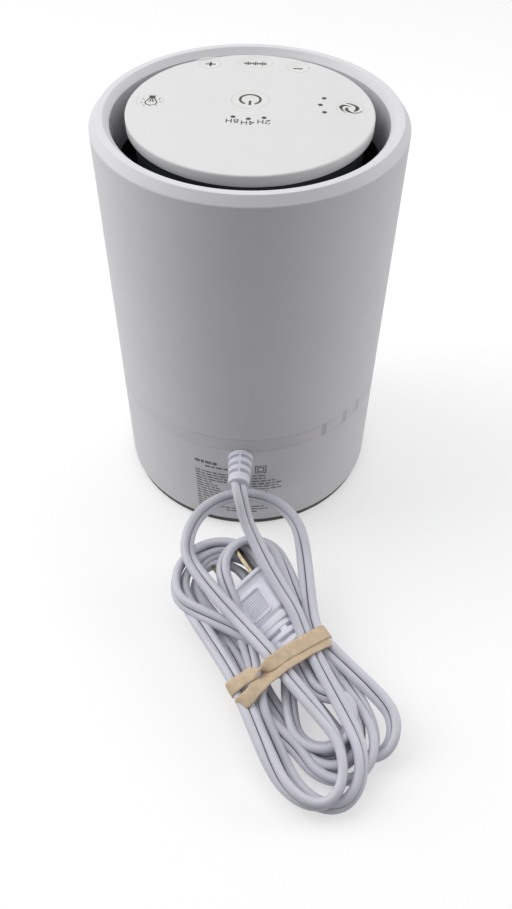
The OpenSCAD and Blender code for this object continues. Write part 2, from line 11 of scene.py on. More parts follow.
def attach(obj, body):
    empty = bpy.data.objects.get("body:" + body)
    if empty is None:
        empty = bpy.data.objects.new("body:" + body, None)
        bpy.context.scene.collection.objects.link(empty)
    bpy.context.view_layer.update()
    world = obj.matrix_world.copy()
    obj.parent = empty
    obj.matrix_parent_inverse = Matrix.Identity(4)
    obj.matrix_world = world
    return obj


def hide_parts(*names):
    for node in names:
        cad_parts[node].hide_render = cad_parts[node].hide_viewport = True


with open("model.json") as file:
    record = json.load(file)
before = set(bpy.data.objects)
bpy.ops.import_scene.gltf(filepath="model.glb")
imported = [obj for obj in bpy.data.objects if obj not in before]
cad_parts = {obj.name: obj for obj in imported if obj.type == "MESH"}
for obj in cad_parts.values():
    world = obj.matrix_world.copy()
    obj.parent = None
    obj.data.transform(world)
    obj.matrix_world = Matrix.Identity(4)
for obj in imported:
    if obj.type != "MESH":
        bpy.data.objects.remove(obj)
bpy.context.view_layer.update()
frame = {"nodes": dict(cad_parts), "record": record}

MM = 0.001
nodes = frame["nodes"]
scene = bpy.context.scene

# ---------------------------------------------------------------- camera

cam_data = bpy.data.cameras.new("camera")
cam_data.sensor_width = 36.0
cam_data.lens = 32.96
cam_data.clip_start = 0.01
cam = bpy.data.objects.new("camera", cam_data)
scene.collection.objects.link(cam)
right = Vector((0.99855, 0.05263, 0.01090))
up = Vector((-0.04684, 0.75267, 0.65673))
back = right.cross(up)
cam.matrix_world = Matrix((
    (right.x, up.x, back.x, 0.01625),
    (right.y, up.y, back.y, -0.29874),
    (right.z, up.z, back.z, 0.32632),
    (0, 0, 0, 1)))
scene.camera = cam

# ---------------------------------------------------------------- mesh helpers


def new_mesh(name, verts, faces, smooth=True, sharp=40):
    """An object of a mesh given in mm in the row frame, its faces turned outwards."""
    me = bpy.data.meshes.new(name)
    bm = bmesh.new()
    made = [bm.verts.new(tuple(float(c) * MM for c in v)) for v in verts]
    for f in faces:
        bm.faces.new([made[i] for i in f])
    bmesh.ops.recalc_face_normals(bm, faces=bm.faces)
    bm.to_mesh(me)
    bm.free()
    if smooth:
        me.shade_smooth()
        me.set_sharp_from_angle(angle=math.radians(sharp))
    ob = bpy.data.objects.new(name, me)
    scene.collection.objects.link(ob)
    return ob


def unit(v):
    return v / max(np.linalg.norm(v), 1e-12)


def spline(points, per_span=10):
    """A centripetal Catmull-Rom curve through the points."""
    p = np.array(points, float)
    p = np.vstack([2 * p[0] - p[1], p, 2 * p[-1] - p[-2]])
    out = []
    for i in range(1, len(p) - 2):
        near = p[i - 1:i + 3]
        knots = np.concatenate([[0], np.cumsum(np.linalg.norm(np.diff(near, axis=0), axis=1) ** 0.5)])
        for k in range(per_span):
            t = knots[1] + (knots[2] - knots[1]) * k / per_span

            def between(u, v, lo, hi):
                return ((knots[hi] - t) * u + (t - knots[lo]) * v) / (knots[hi] - knots[lo])

            first, middle, last = (between(near[j], near[j + 1], j, j + 1) for j in range(3))
            out.append(between(between(first, middle, 0, 2), between(middle, last, 1, 3), 1, 2))
    out.append(p[-2])
    return np.array(out)


def resample(p, step):
    p = np.array(p, float)
    d = np.concatenate([[0], np.cumsum(np.linalg.norm(np.diff(p, axis=0), axis=1))])
    at = np.linspace(0, d[-1], max(2, round(d[-1] / step) + 1))
    return np.stack([np.interp(at, d, p[:, k]) for k in range(p.shape[1])], axis=1)


def relax(p):
    q = p.copy()
    q[1:-1] = 0.25 * p[:-2] + 0.5 * p[1:-1] + 0.25 * p[2:]
    return q


def smoothstep(a, b, x):
    t = np.clip((x - a) / (b - a), 0, 1)
    return t * t * (3 - 2 * t)


def swept(name, rings, closed=False):
    """A surface through rings of points: each ring has the same number of points."""
    n, m = len(rings), len(rings[0])
    verts = [tuple(v) for ring in rings for v in ring]
    faces = [(i * m + k, ((i + 1) % n) * m + k, ((i + 1) % n) * m + (k + 1) % m, i * m + (k + 1) % m)
             for i in range(n if closed else n - 1) for k in range(m)]
    if not closed:
        faces.append(tuple(range(m)))
        faces.append(tuple((n - 1) * m + m - 1 - k for k in range(m)))
    return new_mesh(name, verts, faces)


def rounded(corners, steps=5, hold=0.12):
    """A closed outline of (a, b, radius) corners, each rounded, with a short flat beside each bend."""
    out = []
    for i, (x, y, r) in enumerate(corners):
        p = np.array((x, y), float)
        before = unit(np.array(corners[i - 1][:2]) - p)
        after = unit(np.array(corners[(i + 1) % len(corners)][:2]) - p)
        if r == 0:
            out.append(p)
            continue
        half = math.acos(float(np.clip(before @ after, -1, 1))) / 2
        run = r / math.tan(half)
        centre = p + unit(before + after) * r / math.sin(half)
        start, end = p + before * run, p + after * run
        a0, a1 = (math.atan2(*(q - centre)[::-1]) for q in (start, end))
        turn = (a1 - a0 + math.pi) % (2 * math.pi) - math.pi
        out.append(start + before * hold)
        for k in range(steps + 1):
            a = a0 + turn * k / steps
            out.append(centre + r * np.array((math.cos(a), math.sin(a))))
        out.append(end + after * hold)
    return out


def revolved(name, outline, steps=180):
    """A closed outline of (radius, height) turned about Z."""
    rings = []
    for i in range(steps):
        a = 2 * math.pi * i / steps
        rings.append([(r * math.cos(a), r * math.sin(a), z) for r, z in outline])
    return swept(name, rings, closed=True)


# ---------------------------------------------------------------- materials


def node_tree(name):
    mat = bpy.data.materials.new(name)
    mat.use_nodes = True
    tree = mat.node_tree
    return mat, tree, tree.nodes["Principled BSDF"]


def feed(tree, socket, value):
    """Gives an input either a link from another node or a value of its own."""
    if isinstance(value, bpy.types.NodeSocket):
        tree.links.new(value, socket)
    else:
        socket.default_value = value


def add(tree, kind, **sockets):
    node = tree.nodes.new(kind)
    for key, value in sockets.items():
        feed(tree, node.inputs[key.replace("_", " ")], value)
    return node


def in_mm(tree, stretch=(1, 1, 1)):
    """Object coordinates counted in millimetres, squeezed along any axis."""
    place = tree.nodes.new("ShaderNodeTexCoord")
    mapping = tree.nodes.new("ShaderNodeMapping")
    mapping.inputs["Scale"].default_value = tuple(1000 * s for s in stretch)
    tree.links.new(place.outputs["Object"], mapping.inputs["Vector"])
    return mapping.outputs["Vector"]


def noise(tree, vector, size, detail=3.0, roughness=0.55):
    """Cloudy noise whose lumps are about size mm across."""
    return add(tree, "ShaderNodeTexNoise", Vector=vector, Scale=1.0 / size, Detail=detail,
               Roughness=roughness).outputs[0]


def mapped(tree, value, low, high, to_low=0.0, to_high=1.0, smooth=False):
    node = tree.nodes.new("ShaderNodeMapRange")
    if smooth:
        node.interpolation_type = "SMOOTHSTEP"
    sockets = ("Value", "From Min", "From Max", "To Min", "To Max")
    for key, v in zip(sockets, (value, low, high, to_low, to_high)):
        feed(tree, node.inputs[key], v)
    return node.outputs["Result"]


def math_node(tree, operation, a, b=None, clamp=False):
    node = tree.nodes.new("ShaderNodeMath")
    node.operation = operation
    node.use_clamp = clamp
    for socket, v in zip(node.inputs, (a, b)):
        if v is not None:
            feed(tree, socket, v)
    return node.outputs[0]


def blended(tree, factor, a, b):
    """Colour a where factor is 0, colour b where it is 1; each is a colour or a socket."""
    node = tree.nodes.new("ShaderNodeMix")
    node.data_type = "RGBA"
    for key, v in (("Factor_Float", factor), ("A_Color", a), ("B_Color", b)):
        socket = next(s for s in node.inputs if s.identifier == key)
        feed(tree, socket, (*v, 1.0) if isinstance(v, tuple) else v)
    return next(s for s in node.outputs if s.identifier == "Result_Color")


def bumped(tree, height, strength, depth, after=None):
    """A bump of depth mm, laid over another normal if one is given."""
    node = add(tree, "ShaderNodeBump", Strength=strength, Distance=depth * MM, Height=height)
    if after is not None:
        tree.links.new(after, node.inputs["Normal"])
    return node.outputs["Normal"]


def shade(colour, by):
    return tuple(min(1.0, c * by) for c in colour)


def uneven(tree, place, size, detail, low, high):
    """A value that wanders between low and high."""
    return mapped(tree, noise(tree, place, size, detail), 0.3, 0.7, low, high)


def laid_on(tree, shader, tone, roughness, normal):
    """Puts a material's colour, roughness and bump on its shader."""
    for key, socket in (("Base Color", tone), ("Roughness", roughness), ("Normal", normal)):
        tree.links.new(socket, shader.inputs[key])


def set_on(shader, **values):
    for key, value in values.items():
        shader.inputs[key.replace("_", " ")].default_value = value


def moulded(name, colour, rough, grain, grain_depth, mottle, patch, spread=0.06, scuffs=0.0, metal=0.0,
            stretch=(1, 1, 1), subsurface=0.0, coat=0.0):
    """A moulded or cast surface: cloudy tone, uneven roughness, a fine grain and, if asked, light scuffs."""
    mat, tree, shader = node_tree(name)
    place = in_mm(tree, stretch)
    cloud = mapped(tree, noise(tree, place, patch), 0.35, 0.65)
    tone = blended(tree, cloud, shade(colour, 1 - mottle), shade(colour, 1 + mottle))
    roughness = uneven(tree, place, patch * 0.3, 4.0, max(0.02, rough - spread), rough + spread)
    if scuffs:
        wear = noise(tree, in_mm(tree, (1, 1, 0.35)), 7.0, 8.0, 0.62)
        mark = mapped(tree, wear, 0.60, 0.72, 0.0, scuffs)
        tone = blended(tree, mark, tone, shade(colour, 0.55))
        roughness = math_node(tree, "ADD", roughness, math_node(tree, "MULTIPLY", mark, 0.4), clamp=True)
    laid_on(tree, shader, tone, roughness, bumped(tree, noise(tree, place, grain, 2.0, 0.5), 0.5, grain_depth))
    set_on(shader, Metallic=metal, Coat_Weight=coat, Subsurface_Weight=subsurface, Subsurface_Scale=0.002)
    return mat


def woven(name, colour, other, pitch, depth, rough=0.85, along=(1, 1, 1), sheen=0.2):
    """Cloth or mesh: two sets of threads crossing."""
    mat, tree, shader = node_tree(name)
    place = in_mm(tree, along)
    threads = []
    for direction in ("X", "Z"):
        wave = add(tree, "ShaderNodeTexWave", Vector=place, Scale=0.5 / pitch, Distortion=0.6, Detail=1.0)
        wave.bands_direction = direction
        threads.append(wave.outputs[1])
    cross = math_node(tree, "MULTIPLY", *threads)
    fuzz = noise(tree, place, pitch * 0.6, 5.0, 0.7)
    height = math_node(tree, "ADD", cross, math_node(tree, "MULTIPLY", fuzz, 0.6))
    laid_on(tree, shader, blended(tree, mapped(tree, height, 0.3, 1.1), other, colour),
            mapped(tree, fuzz, 0.3, 0.7, rough - 0.08, rough + 0.08),
            bumped(tree, fuzz, 0.4, depth * 0.4, bumped(tree, cross, 0.8, depth)))
    set_on(shader, Sheen_Weight=sheen)
    return mat


def granular(name, colour, size, depth, rough, contrast=0.5):
    """Foam, felt or carbon granules: a bed of small cells."""
    mat, tree, shader = node_tree(name)
    place = in_mm(tree)
    cells = add(tree, "ShaderNodeTexVoronoi", Vector=place, Scale=1.0 / size, Randomness=1.0)
    cells = cells.outputs["Distance"]
    fuzz = noise(tree, place, size * 0.7, 4.0, 0.6)
    light, dark = shade(colour, 1 + contrast), shade(colour, 1 - contrast)
    laid_on(tree, shader, blended(tree, mapped(tree, cells, 0.1, 0.7), light, dark),
            mapped(tree, fuzz, 0.3, 0.7, rough - 0.1, min(1.0, rough + 0.1)), bumped(tree, cells, 0.8, depth))
    return mat


def circuit(name):
    """A circuit board: solder mask with tracks of another green and small pale pads."""
    mat, tree, shader = node_tree(name)
    place = in_mm(tree)
    bricks = add(tree, "ShaderNodeTexBrick", Vector=place, Scale=0.35, Color1=(0.02, 0.16, 0.07, 1),
                 Color2=(0.03, 0.2, 0.09, 1), Mortar=(0.05, 0.32, 0.15, 1), Mortar_Size=0.09)
    dots = add(tree, "ShaderNodeTexVoronoi", Vector=place, Scale=0.45, Randomness=0.9).outputs["Distance"]
    pads = mapped(tree, dots, 0.16, 0.2, 1.0, 0.0)
    laid_on(tree, shader, blended(tree, pads, bricks.outputs["Color"], (0.55, 0.55, 0.5)),
            uneven(tree, place, 3.0, 3.0, 0.28, 0.5), bumped(tree, bricks.outputs["Fac"], 0.6, 0.05))
    return mat


def translucent_ring(name, colour, marks):
    """The light ring: milky plastic with painted shade, faint darker windows painted where the parts behind it
    would cast shadows through it.
    """
    mat, tree, shader = node_tree(name)
    place = in_mm(tree)
    split = add(tree, "ShaderNodeSeparateXYZ", Vector=place)
    backwards = math_node(tree, "MULTIPLY", split.outputs["Y"], -1.0)
    turned = math_node(tree, "ARCTAN2", split.outputs["X"], backwards)
    angle = math_node(tree, "MULTIPLY", turned, 180 / math.pi)
    cloud = mapped(tree, noise(tree, place, 9.0, 3.0), 0.35, 0.65)
    tone = blended(tree, cloud, shade(colour, 0.975), shade(colour, 1.01))
    # Painted shade: each band darkens the ring where a part behind it would throw its shadow through
    for at, half, depth in marks:
        away = math_node(tree, "ABSOLUTE", math_node(tree, "SUBTRACT", angle, float(at)))
        inside = mapped(tree, away, half * 0.8, half * 1.2, depth, 0.0, True)
        tone = blended(tree, inside, tone, shade(colour, 0.55))
    laid_on(tree, shader, tone, uneven(tree, place, 4.0, 4.0, 0.34, 0.5),
            bumped(tree, noise(tree, place, 0.4, 2.0), 0.4, 0.008))
    set_on(shader, Subsurface_Weight=0.25, Subsurface_Scale=0.003)
    return mat


def cord_plastic(name, colour):
    """Soft PVC with painted shade: a dark line painted along the groove, where the narrow groove would be in
    shadow, from the mesh's own groove value.
    """
    mat, tree, shader = node_tree(name)
    place = in_mm(tree)
    cloud = mapped(tree, noise(tree, place, 14.0), 0.35, 0.65)
    tone = blended(tree, cloud, shade(colour, 0.95), shade(colour, 1.04))
    groove = tree.nodes.new("ShaderNodeAttribute")
    groove.attribute_name = "groove"
    broken_groove_shade = mapped(tree, noise(tree, place, 30.0, 2.0), 0.3, 0.55, 0.5, 1.0)
    # Painted shade in the groove: darkest at its middle, broken up by noise
    dark = math_node(tree, "MULTIPLY", mapped(tree, groove.outputs["Fac"], 0.15, 0.7), broken_groove_shade)
    laid_on(tree, shader, blended(tree, dark, tone, shade(colour, 0.16)),
            uneven(tree, place, 5.0, 4.0, 0.34, 0.52), bumped(tree, noise(tree, place, 0.8, 3.0), 0.35, 0.03))
    set_on(shader, Subsurface_Weight=0.08, Subsurface_Scale=0.002)
    return mat


def rubber(name, colour):
    """An old rubber band: streaks along it and fine cracks."""
    mat, tree, shader = node_tree(name)
    place = in_mm(tree)
    streak = mapped(tree, noise(tree, place, 3.2, 6.0, 0.65), 0.3, 0.7)
    tone = blended(tree, streak, shade(colour, 0.82), shade(colour, 1.1))
    cracks = add(tree, "ShaderNodeTexVoronoi", Vector=place, Scale=1 / 1.4, Randomness=1.0)
    cracks.feature = "DISTANCE_TO_EDGE"
    thin = mapped(tree, cracks.outputs["Distance"], 0.0, 0.06, 0.3, 0.0)
    tone = blended(tree, math_node(tree, "MULTIPLY", thin, streak), tone, shade(colour, 0.5))
    laid_on(tree, shader, tone, mapped(tree, streak, 0.0, 1.0, 0.5, 0.7),
            bumped(tree, noise(tree, place, 1.1, 4.0), 0.5, 0.06))
    set_on(shader, Subsurface_Weight=0.15, Subsurface_Scale=0.0015)
    return mat


# Moulded and cast slots: colour, roughness, size and depth of the grain, strength and size of the mottle,
# and what else sets the slot apart
MOULDED = {
    "shell_white": ((0.75, 0.742, 0.765), 0.52, 0.5, 0.014, 0.012, 30, dict(scuffs=0.05)),
    "panel_white": ((0.765, 0.76, 0.757), 0.5, 0.45, 0.018, 0.012, 20, dict(scuffs=0.04)),
    "key_white": ((0.765, 0.765, 0.752), 0.46, 0.4, 0.012, 0.01, 12, {}),
    "bowl_white": ((0.76, 0.75, 0.78), 0.3, 0.6, 0.006, 0.01, 25, dict(coat=0.15)),
    "foot_grey": ((0.115, 0.115, 0.095), 0.62, 0.5, 0.03, 0.12, 9, dict(spread=0.1, scuffs=0.2)),
    "dark_plastic": ((0.028, 0.031, 0.043), 0.48, 0.5, 0.02, 0.12, 10, dict(spread=0.1)),
    "fan_grey": ((0.09, 0.09, 0.1), 0.4, 0.6, 0.012, 0.08, 12, {}),
    "lens": ((0.035, 0.036, 0.034), 0.2, 0.5, 0.004, 0.1, 2, dict(coat=0.3)),
    "switch_black": ((0.03, 0.03, 0.03), 0.5, 0.35, 0.012, 0.15, 3, {}),
    "zinc_screw": ((0.55, 0.56, 0.58), 0.34, 0.25, 0.02, 0.12, 2, dict(metal=1.0, spread=0.12)),
    "motor_steel": ((0.42, 0.43, 0.45), 0.42, 0.3, 0.015, 0.1, 5, dict(metal=1.0, stretch=(1, 1, 6))),
    "bearing_steel": ((0.6, 0.6, 0.62), 0.18, 0.2, 0.004, 0.06, 3, dict(metal=1.0)),
    "shaft_steel": ((0.55, 0.55, 0.57), 0.24, 0.15, 0.006, 0.08, 2, dict(metal=1.0, stretch=(1, 1, 9))),
    "filter_cap": ((0.05, 0.055, 0.068), 0.6, 0.6, 0.02, 0.12, 9, {}),
    "plug_white": ((0.76, 0.765, 0.84), 0.42, 0.6, 0.02, 0.03, 7, dict(subsurface=0.05, scuffs=0.05)),
    "blade_metal": ((0.26, 0.225, 0.15), 0.34, 0.3, 0.02, 0.25, 2.5, dict(metal=1.0, spread=0.12)),
    "ink": ((0.055, 0.06, 0.045), 0.5, 0.3, 0.004, 0.2, 1.5, {}),
}
# Painted shadows of the parts behind the light ring: angle and half width in degrees, strength
RING_PAINTED_SHADOWS = [(36.9, 1.35, 0.5), (48.8, 1.3, 0.42), (57.8, 1.3, 0.4), (20.0, 6.0, 0.1)]
# The other slots: the kind of material and its values, in the order that the kind takes them
OTHERS = {
    "light_diffuser": (translucent_ring, (0.735, 0.72, 0.735), RING_PAINTED_SHADOWS),
    "circuit_board": (circuit,),
    "speaker_black": (granular, (0.03, 0.03, 0.033), 0.6, 0.05, 0.75, 0.3),
    "filter_paper": (woven, (0.82, 0.81, 0.78), (0.66, 0.65, 0.61), 0.5, 0.06, 0.9, (1, 1, 0.2)),
    "filter_mesh": (woven, (0.12, 0.125, 0.13), (0.015, 0.015, 0.016), 0.8, 0.2, 0.7),
    "carbon": (granular, (0.018, 0.018, 0.018), 1.3, 0.4, 0.7, 0.6),
    "foam": (granular, (0.02, 0.02, 0.021), 0.7, 0.2, 0.95, 0.6),
    "tab_cloth": (woven, (0.03, 0.08, 0.3), (0.015, 0.03, 0.12), 0.7, 0.15, 0.85, (1, 1, 1), 0.4),
    "cord_white": (cord_plastic, (0.645, 0.645, 0.708)),
    "band_tan": (rubber, (0.68, 0.53, 0.36)),
}
mats = {slot: moulded(slot + "_look", *row[:-1], **row[-1]) for slot, row in MOULDED.items()}
mats |= {slot: kind(slot + "_look", *row) for slot, (kind, *row) in OTHERS.items()}
for part in frame["record"]["subparts"]:
    look = mats[part["material_slot"]]
    for socket in nodes[part["node"]].material_slots:
        socket.material = look


def dressed(piece, slot_name, body="housing", look=None):
    piece.data.materials.clear()
    piece.data.materials.append(mats[look or slot_name])
    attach(piece, body)
    return piece


# ---------------------------------------------------------------- cord

# The hank lies with its far end on the floor and leans on the body (as in the CAD)
HANK_FOOT_Y = -195.0
HANK_TILT = math.radians(6.5)
HANK_MID = 9.0
WAIST = (21.0, -142.0)
RUN = math.radians(-55)
PLUG_AT = (4.8, -105.0, -1.5)
PLUG_TURN, PLUG_PITCH, PLUG_ROLL = -55, 3, 30
PLUG_LEN = 40.0

hank_to_row = (Matrix.Translation((0, HANK_FOOT_Y, HANK_MID)) @ Matrix.Rotation(HANK_TILT, 4, "X")
               @ Matrix.Translation((0, -HANK_FOOT_Y, 0)))
plug_to_row = hank_to_row @ Matrix.Translation(PLUG_AT)
for degrees, axis in ((PLUG_TURN, "Z"), (-PLUG_PITCH, "Y"), (PLUG_ROLL, "X")):
    plug_to_row = plug_to_row @ Matrix.Rotation(math.radians(degrees), 4, axis)


def in_hank(x, y, w):
    return tuple(hank_to_row @ Vector((x, y, w)))


def at_waist(u, v, w):
    """A point of the bundle by the band: u across it, v along it, w above its middle."""
    c, s = math.cos(RUN), math.sin(RUN)
    return in_hank(WAIST[0] - s * u + c * v, WAIST[1] + c * u + s * v, w)


# From the strain relief to the hank
LEAD_ROUTE = [(0, -74.8, 49.7), (0.8, -79, 48.6), (2.2, -83, 45.5), (4, -87.5, 41), (7.5, -93, 37),
              (11.5, -99.5, 34), (16, -106.5, 31), (20.5, -113, 28.5), (26, -121, 26)]
# One line for each end loop of the hank: the middle of its round end, its radius along and across,
# its direction, the side it starts on, and its height at the start, the tip and the end
END_LOOPS = [
    (37, -172, 22, 14.5, -64, 1, 4, -3, -4),
    (-6, -103, 18, 20, 125, 1, 1, 0, -2),
    (43, -166, 18, 15, -60, 1, 0, -3, -4),
    (7.5, -98, 13, 13, 110, 1, 2, 4, 3),
    (40, -164, 15, 13, -60, 1, -1, -4, -5),
    (-4, -107, 15, 12, 125, 1, -5, -6, -6),
    (37, -160, 14, 11, -60, 1, -3, -6, -6),
    (-3, -103, 14, 14, 120, 1, -5, -5, -6),
    (55.4, -161.4, 12.5, 10.5, -58, -1, -6, -5, 1),
    (3.5, -88, 25, 25, 109, -1, 5, 5, 5),
    (31.5, -175, 19.5, 13, -62, 1, 5, 0, 2),
    (-5, -103, 15, 18, 125, 1, -2, -3, -5),
    (38, -160, 12, 11.5, -60, -1, -3, -1, 3),
]
# Where the runs between the loops pass under the band: across on the upper side, on the lower side, height
RUNS = [(15, 13.5, 6.4), (0.5, -13, 1.6), (16, 19.5, -0.5), (-9, -16, -1.5), (19, 17, 2.5), (-13, -17, -5.5),
        (12, 11, -5.5), (-8, -9, -6), (4, 4, -6.6), (20.5, 21, 4), (-1.3, -0.3, 6.6), (-18, -19.4, 2),
        (10, 1, -2.5), (9, 7, 2)]


def hank_route():
    points = []
    for i, (cx, cy, along, across, turn, side, w0, w1, w2) in enumerate(END_LOOPS):
        upper, lower, w = RUNS[i]
        for v in ((-5, 5) if i % 2 == 0 else (5, -5)):
            points.append(at_waist(upper if v < 0 else lower, v, w))
        ca, sa = math.cos(math.radians(turn)), math.sin(math.radians(turn))
        for k in range(9):
            q = math.radians(90 - 22.5 * k)
            f, s = along * math.cos(q), across * math.sin(q) * side
            w = w1 + (w0 - w1) * max(0, math.sin(q)) + (w2 - w1) * max(0, -math.sin(q))
            points.append(in_hank(cx + ca * f - sa * s, cy + sa * f + ca * s, w))
    upper, lower, w = RUNS[-1]
    points += [at_waist(lower, 16, w), at_waist(lower, 6, w - 0.5)]
    return points


def cord_line():
    line = spline(LEAD_ROUTE + hank_route() + [tuple(plug_to_row @ Vector((PLUG_LEN - 1, 0, 0)))])
    for _ in range(2):
        line = relax(resample(line, 2.0))
    return line


# Half of one side of the cord's section: across it, and out from its middle plane, from the groove to the edge
SECTION = [(0, 0.78), (0.14, 1.0), (0.32, 1.36), (0.55, 1.55), (0.9, 1.72), (1.35, 1.83), (1.9, 1.82),
           (2.45, 1.62), (2.9, 1.26), (3.2, 0.82), (3.36, 0.4), (3.4, 0)]


def flat_cord(name, line):
    """A flat two-core cord that lies flat on its runs and stands on its edge round the bends."""
    half = SECTION + [(x, -y) for x, y in SECTION[-2::-1]]
    section = half + [(-x, y) for x, y in half[-2:0:-1]]
    tangent = np.gradient(line, axis=0)
    tangent /= np.linalg.norm(tangent, axis=1)[:, None]
    bend = np.linalg.norm(np.gradient(tangent, axis=0), axis=1) / 2.0
    roll = 78 * smoothstep(0.012, 0.045, bend)
    for _ in range(60):
        roll[1:-1] = 0.25 * roll[:-2] + 0.5 * roll[1:-1] + 0.25 * roll[2:]
    s = np.arange(len(line)) * 2.0
    roll = roll + 14 * np.sin(s / 31.0) * smoothstep(0, 60, s)
    rings = []
    for p, t, r in zip(line, tangent, np.radians(roll)):
        flat = unit(np.cross(t, (0, -math.sin(HANK_TILT), math.cos(HANK_TILT))))
        over = np.cross(flat, t)
        wide, thin = flat * math.cos(r) + over * math.sin(r), over * math.cos(r) - flat * math.sin(r)
        rings.append([p + x * wide + y * thin for x, y in section])
    ob = swept(name, rings)
    # Where the material paints shade into the groove: 1 at the groove's middle, falling to 0 beside it
    groove = ob.data.attributes.new("groove", "FLOAT", "POINT")
    depth = [max(0.0, 1 - abs(x) / 0.32) if abs(y) < 1.4 and abs(x) < 0.4 else 0.0 for x, y in section]
    groove.data.foreach_set("value", depth * len(rings))
    return ob


line = cord_line()
cord = dressed(flat_cord("mains_cord", line), "cord_white")
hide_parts("cord_lead", "cord_hank")

# ---------------------------------------------------------------- plug, strain relief and rubber band


def ribbed_radius(s, turn, length, r0, r1, rings, bridges, deep=2.2):
    """Radius of a ribbed sleeve at distance s along it and at an angle, in degrees."""
    r = r0 + (r1 - r0) * s / length
    pitch = length / rings
    groove = pitch * 0.42
    i = int(s / pitch)
    at = s - i * pitch
    edge = min(at, pitch - groove - at) if at < pitch - groove else 0.0
    ends = min(s, length - s)
    bevel = min(edge, ends) if (i == 0 and at < 0.5) or (i == rings - 1 and ends < 0.5) else edge
    if at >= pitch - groove and i < rings - 1:
        middle = (at - (pitch - groove)) / groove
        wall = smoothstep(0, 0.2, middle) * smoothstep(0, 0.2, 1 - middle)
        away = min(abs((turn - b + 180) % 360 - 180) for b in bridges[i % len(bridges)])
        return r - 0.1 - (deep - 0.1) * wall * float(smoothstep(4, 8, away))
    if at >= pitch - groove:
        bevel = ends
    return r - 0.28 * (1 - min(1.0, max(0.0, bevel) / 0.3)) ** 2


def sleeve(name, at, length, r0, r1, rings, bridges):
    """The sleeve as a mesh: at(x, a, b) places a point x along the axis and a, b across it."""
    sides = 120
    out = []
    for s in np.arange(0, length + 0.01, 0.12):
        row = []
        for k in range(sides):
            turn = 360 * k / sides
            r = ribbed_radius(min(s, length), turn, length, r0, r1, rings, bridges)
            q = math.radians(turn)
            row.append(at(s, r * math.cos(q), r * math.sin(q)))
        out.append(row)
    return swept(name, out)


RELIEF_Y, RELIEF_Z, RELIEF_LEN = -60.1, 49.6, 15.5
relief = sleeve("strain_relief_sleeve", lambda s, a, b: (a, RELIEF_Y - s, RELIEF_Z + b), RELIEF_LEN, 5.5, 4.5,
                4, [(90, 270)])
# The part inside the wall: a neck in the slot and a flange behind it
NECK = [(0.6, 0, 0), (4.9, 0, 0.2), (4.9, 1.3, 0.2), (3.65, 1.35, 0), (3.65, 4.2, 0), (0.6, 4.2, 0)]
NECK_Y = -56.0
neck = revolved("strain_relief_neck", rounded(NECK, 3, 0.05), 64)
in_wall = Matrix.Translation((0, NECK_Y * MM, RELIEF_Z * MM))
neck.data.transform(in_wall @ Matrix.Rotation(math.radians(90), 4, "X"))


# The plug's body: distance from its face, half width, half thickness and corner radius
PLUG_ROWS = [
    (0, 11.4, 5.9, 2.6), (0.25, 11.85, 6.35, 2.8), (0.7, 12.0, 6.5, 2.9), (1.5, 12.0, 6.5, 2.9),
    (2.0, 11.8, 6.3, 2.9), (2.4, 11.2, 5.75, 2.6), (3.4, 10.8, 5.3, 2.4), (4.6, 10.6, 5.05, 2.2),
    (5.6, 10.5, 5.05, 2.1), (18.0, 9.8, 5.05, 2.0), (19.4, 9.5, 5.0, 1.9), (20.6, 8.6, 4.2, 1.9),
    (21.0, 8.5, 4.1, 1.8), (21.4, 9.0, 4.6, 1.6), (21.8, 9.15, 4.75, 1.5), (24.0, 9.0, 4.7, 1.5),
    (24.6, 8.6, 4.3, 1.6), (25.0, 7.6, 3.4, 1.6)]


def plug_section(x):
    """Half width, half thickness and corner radius of the plug's body at x from its face."""
    xs, *columns = zip(*PLUG_ROWS)
    return [float(np.interp(x, xs, column)) for column in columns]


def flat_sleeve(name, at, length, wide, wide_end, thick, rings, bridges):
    """A flat sleeve with oval ribs; bridges holds, for each groove, the places across it that stay joined."""
    pitch = length / rings
    groove = pitch * 0.4
    rib = pitch - groove
    half_sides = 48
    out = []
    for s in np.arange(0, length + 0.01, 0.13):
        s = min(s, length)
        i = min(int(s / pitch), rings - 1)
        along = s - i * pitch
        w = wide + (wide_end - wide) * i / (rings - 1)
        flat = w - thick
        into = along - rib if i < rings - 1 else -1.0
        wall = float(smoothstep(0, 0.22, into) * smoothstep(0, 0.22, groove - into)) if into > 0 else 0.0
        edge = min(along if i else 9.0, rib - along if i < rings - 1 else length - s)
        bevel = 0.3 * (1 - min(1.0, max(0.0, edge) / 0.35)) ** 2 if into <= 0 else 0.3
        ring = []
        for side in (1, -1):
            for k in range(half_sides):
                q = math.pi * k / half_sides
                place = side * (flat + 0.9) * math.cos(q)
                clear = np.prod([smoothstep(0.7, 1.1, abs(place - b)) for b in bridges[i % len(bridges)]])
                t = thick - bevel - 1.9 * wall * float(clear)
                across = flat * max(-1, min(1, 1.6 * math.cos(q))) + t * math.cos(q)
                ring.append((across * side, t * side * math.sin(q) ** 0.8))
        out.append([at(s, y, z) for y, z in ring])
    return swept(name, out)


GRIP_X = 12.4  # middle of the ribbed recess, from the plug's face


def plug_relief(x, y):
    """Height of the grip's raised bezel and its fine cross ribs over the plain face."""
    u = abs(x - GRIP_X) - 5.2
    v = abs(y) - (4.9 - 0.05 * (x - GRIP_X))
    out = math.hypot(max(u + 1.2, 0), max(v + 1.2, 0)) - 1.2 + min(max(u, v), 0)
    bezel = math.exp(-((out - 0.7) / 0.75) ** 2) * 0.55
    inside = float(smoothstep(0.15, -0.25, out)) if out < 0.15 else 0.0
    ribs = 0.24 * math.cos(2 * math.pi * (x - GRIP_X) / 0.95)
    return bezel * (1 - inside) + inside * (-0.35 + ribs)


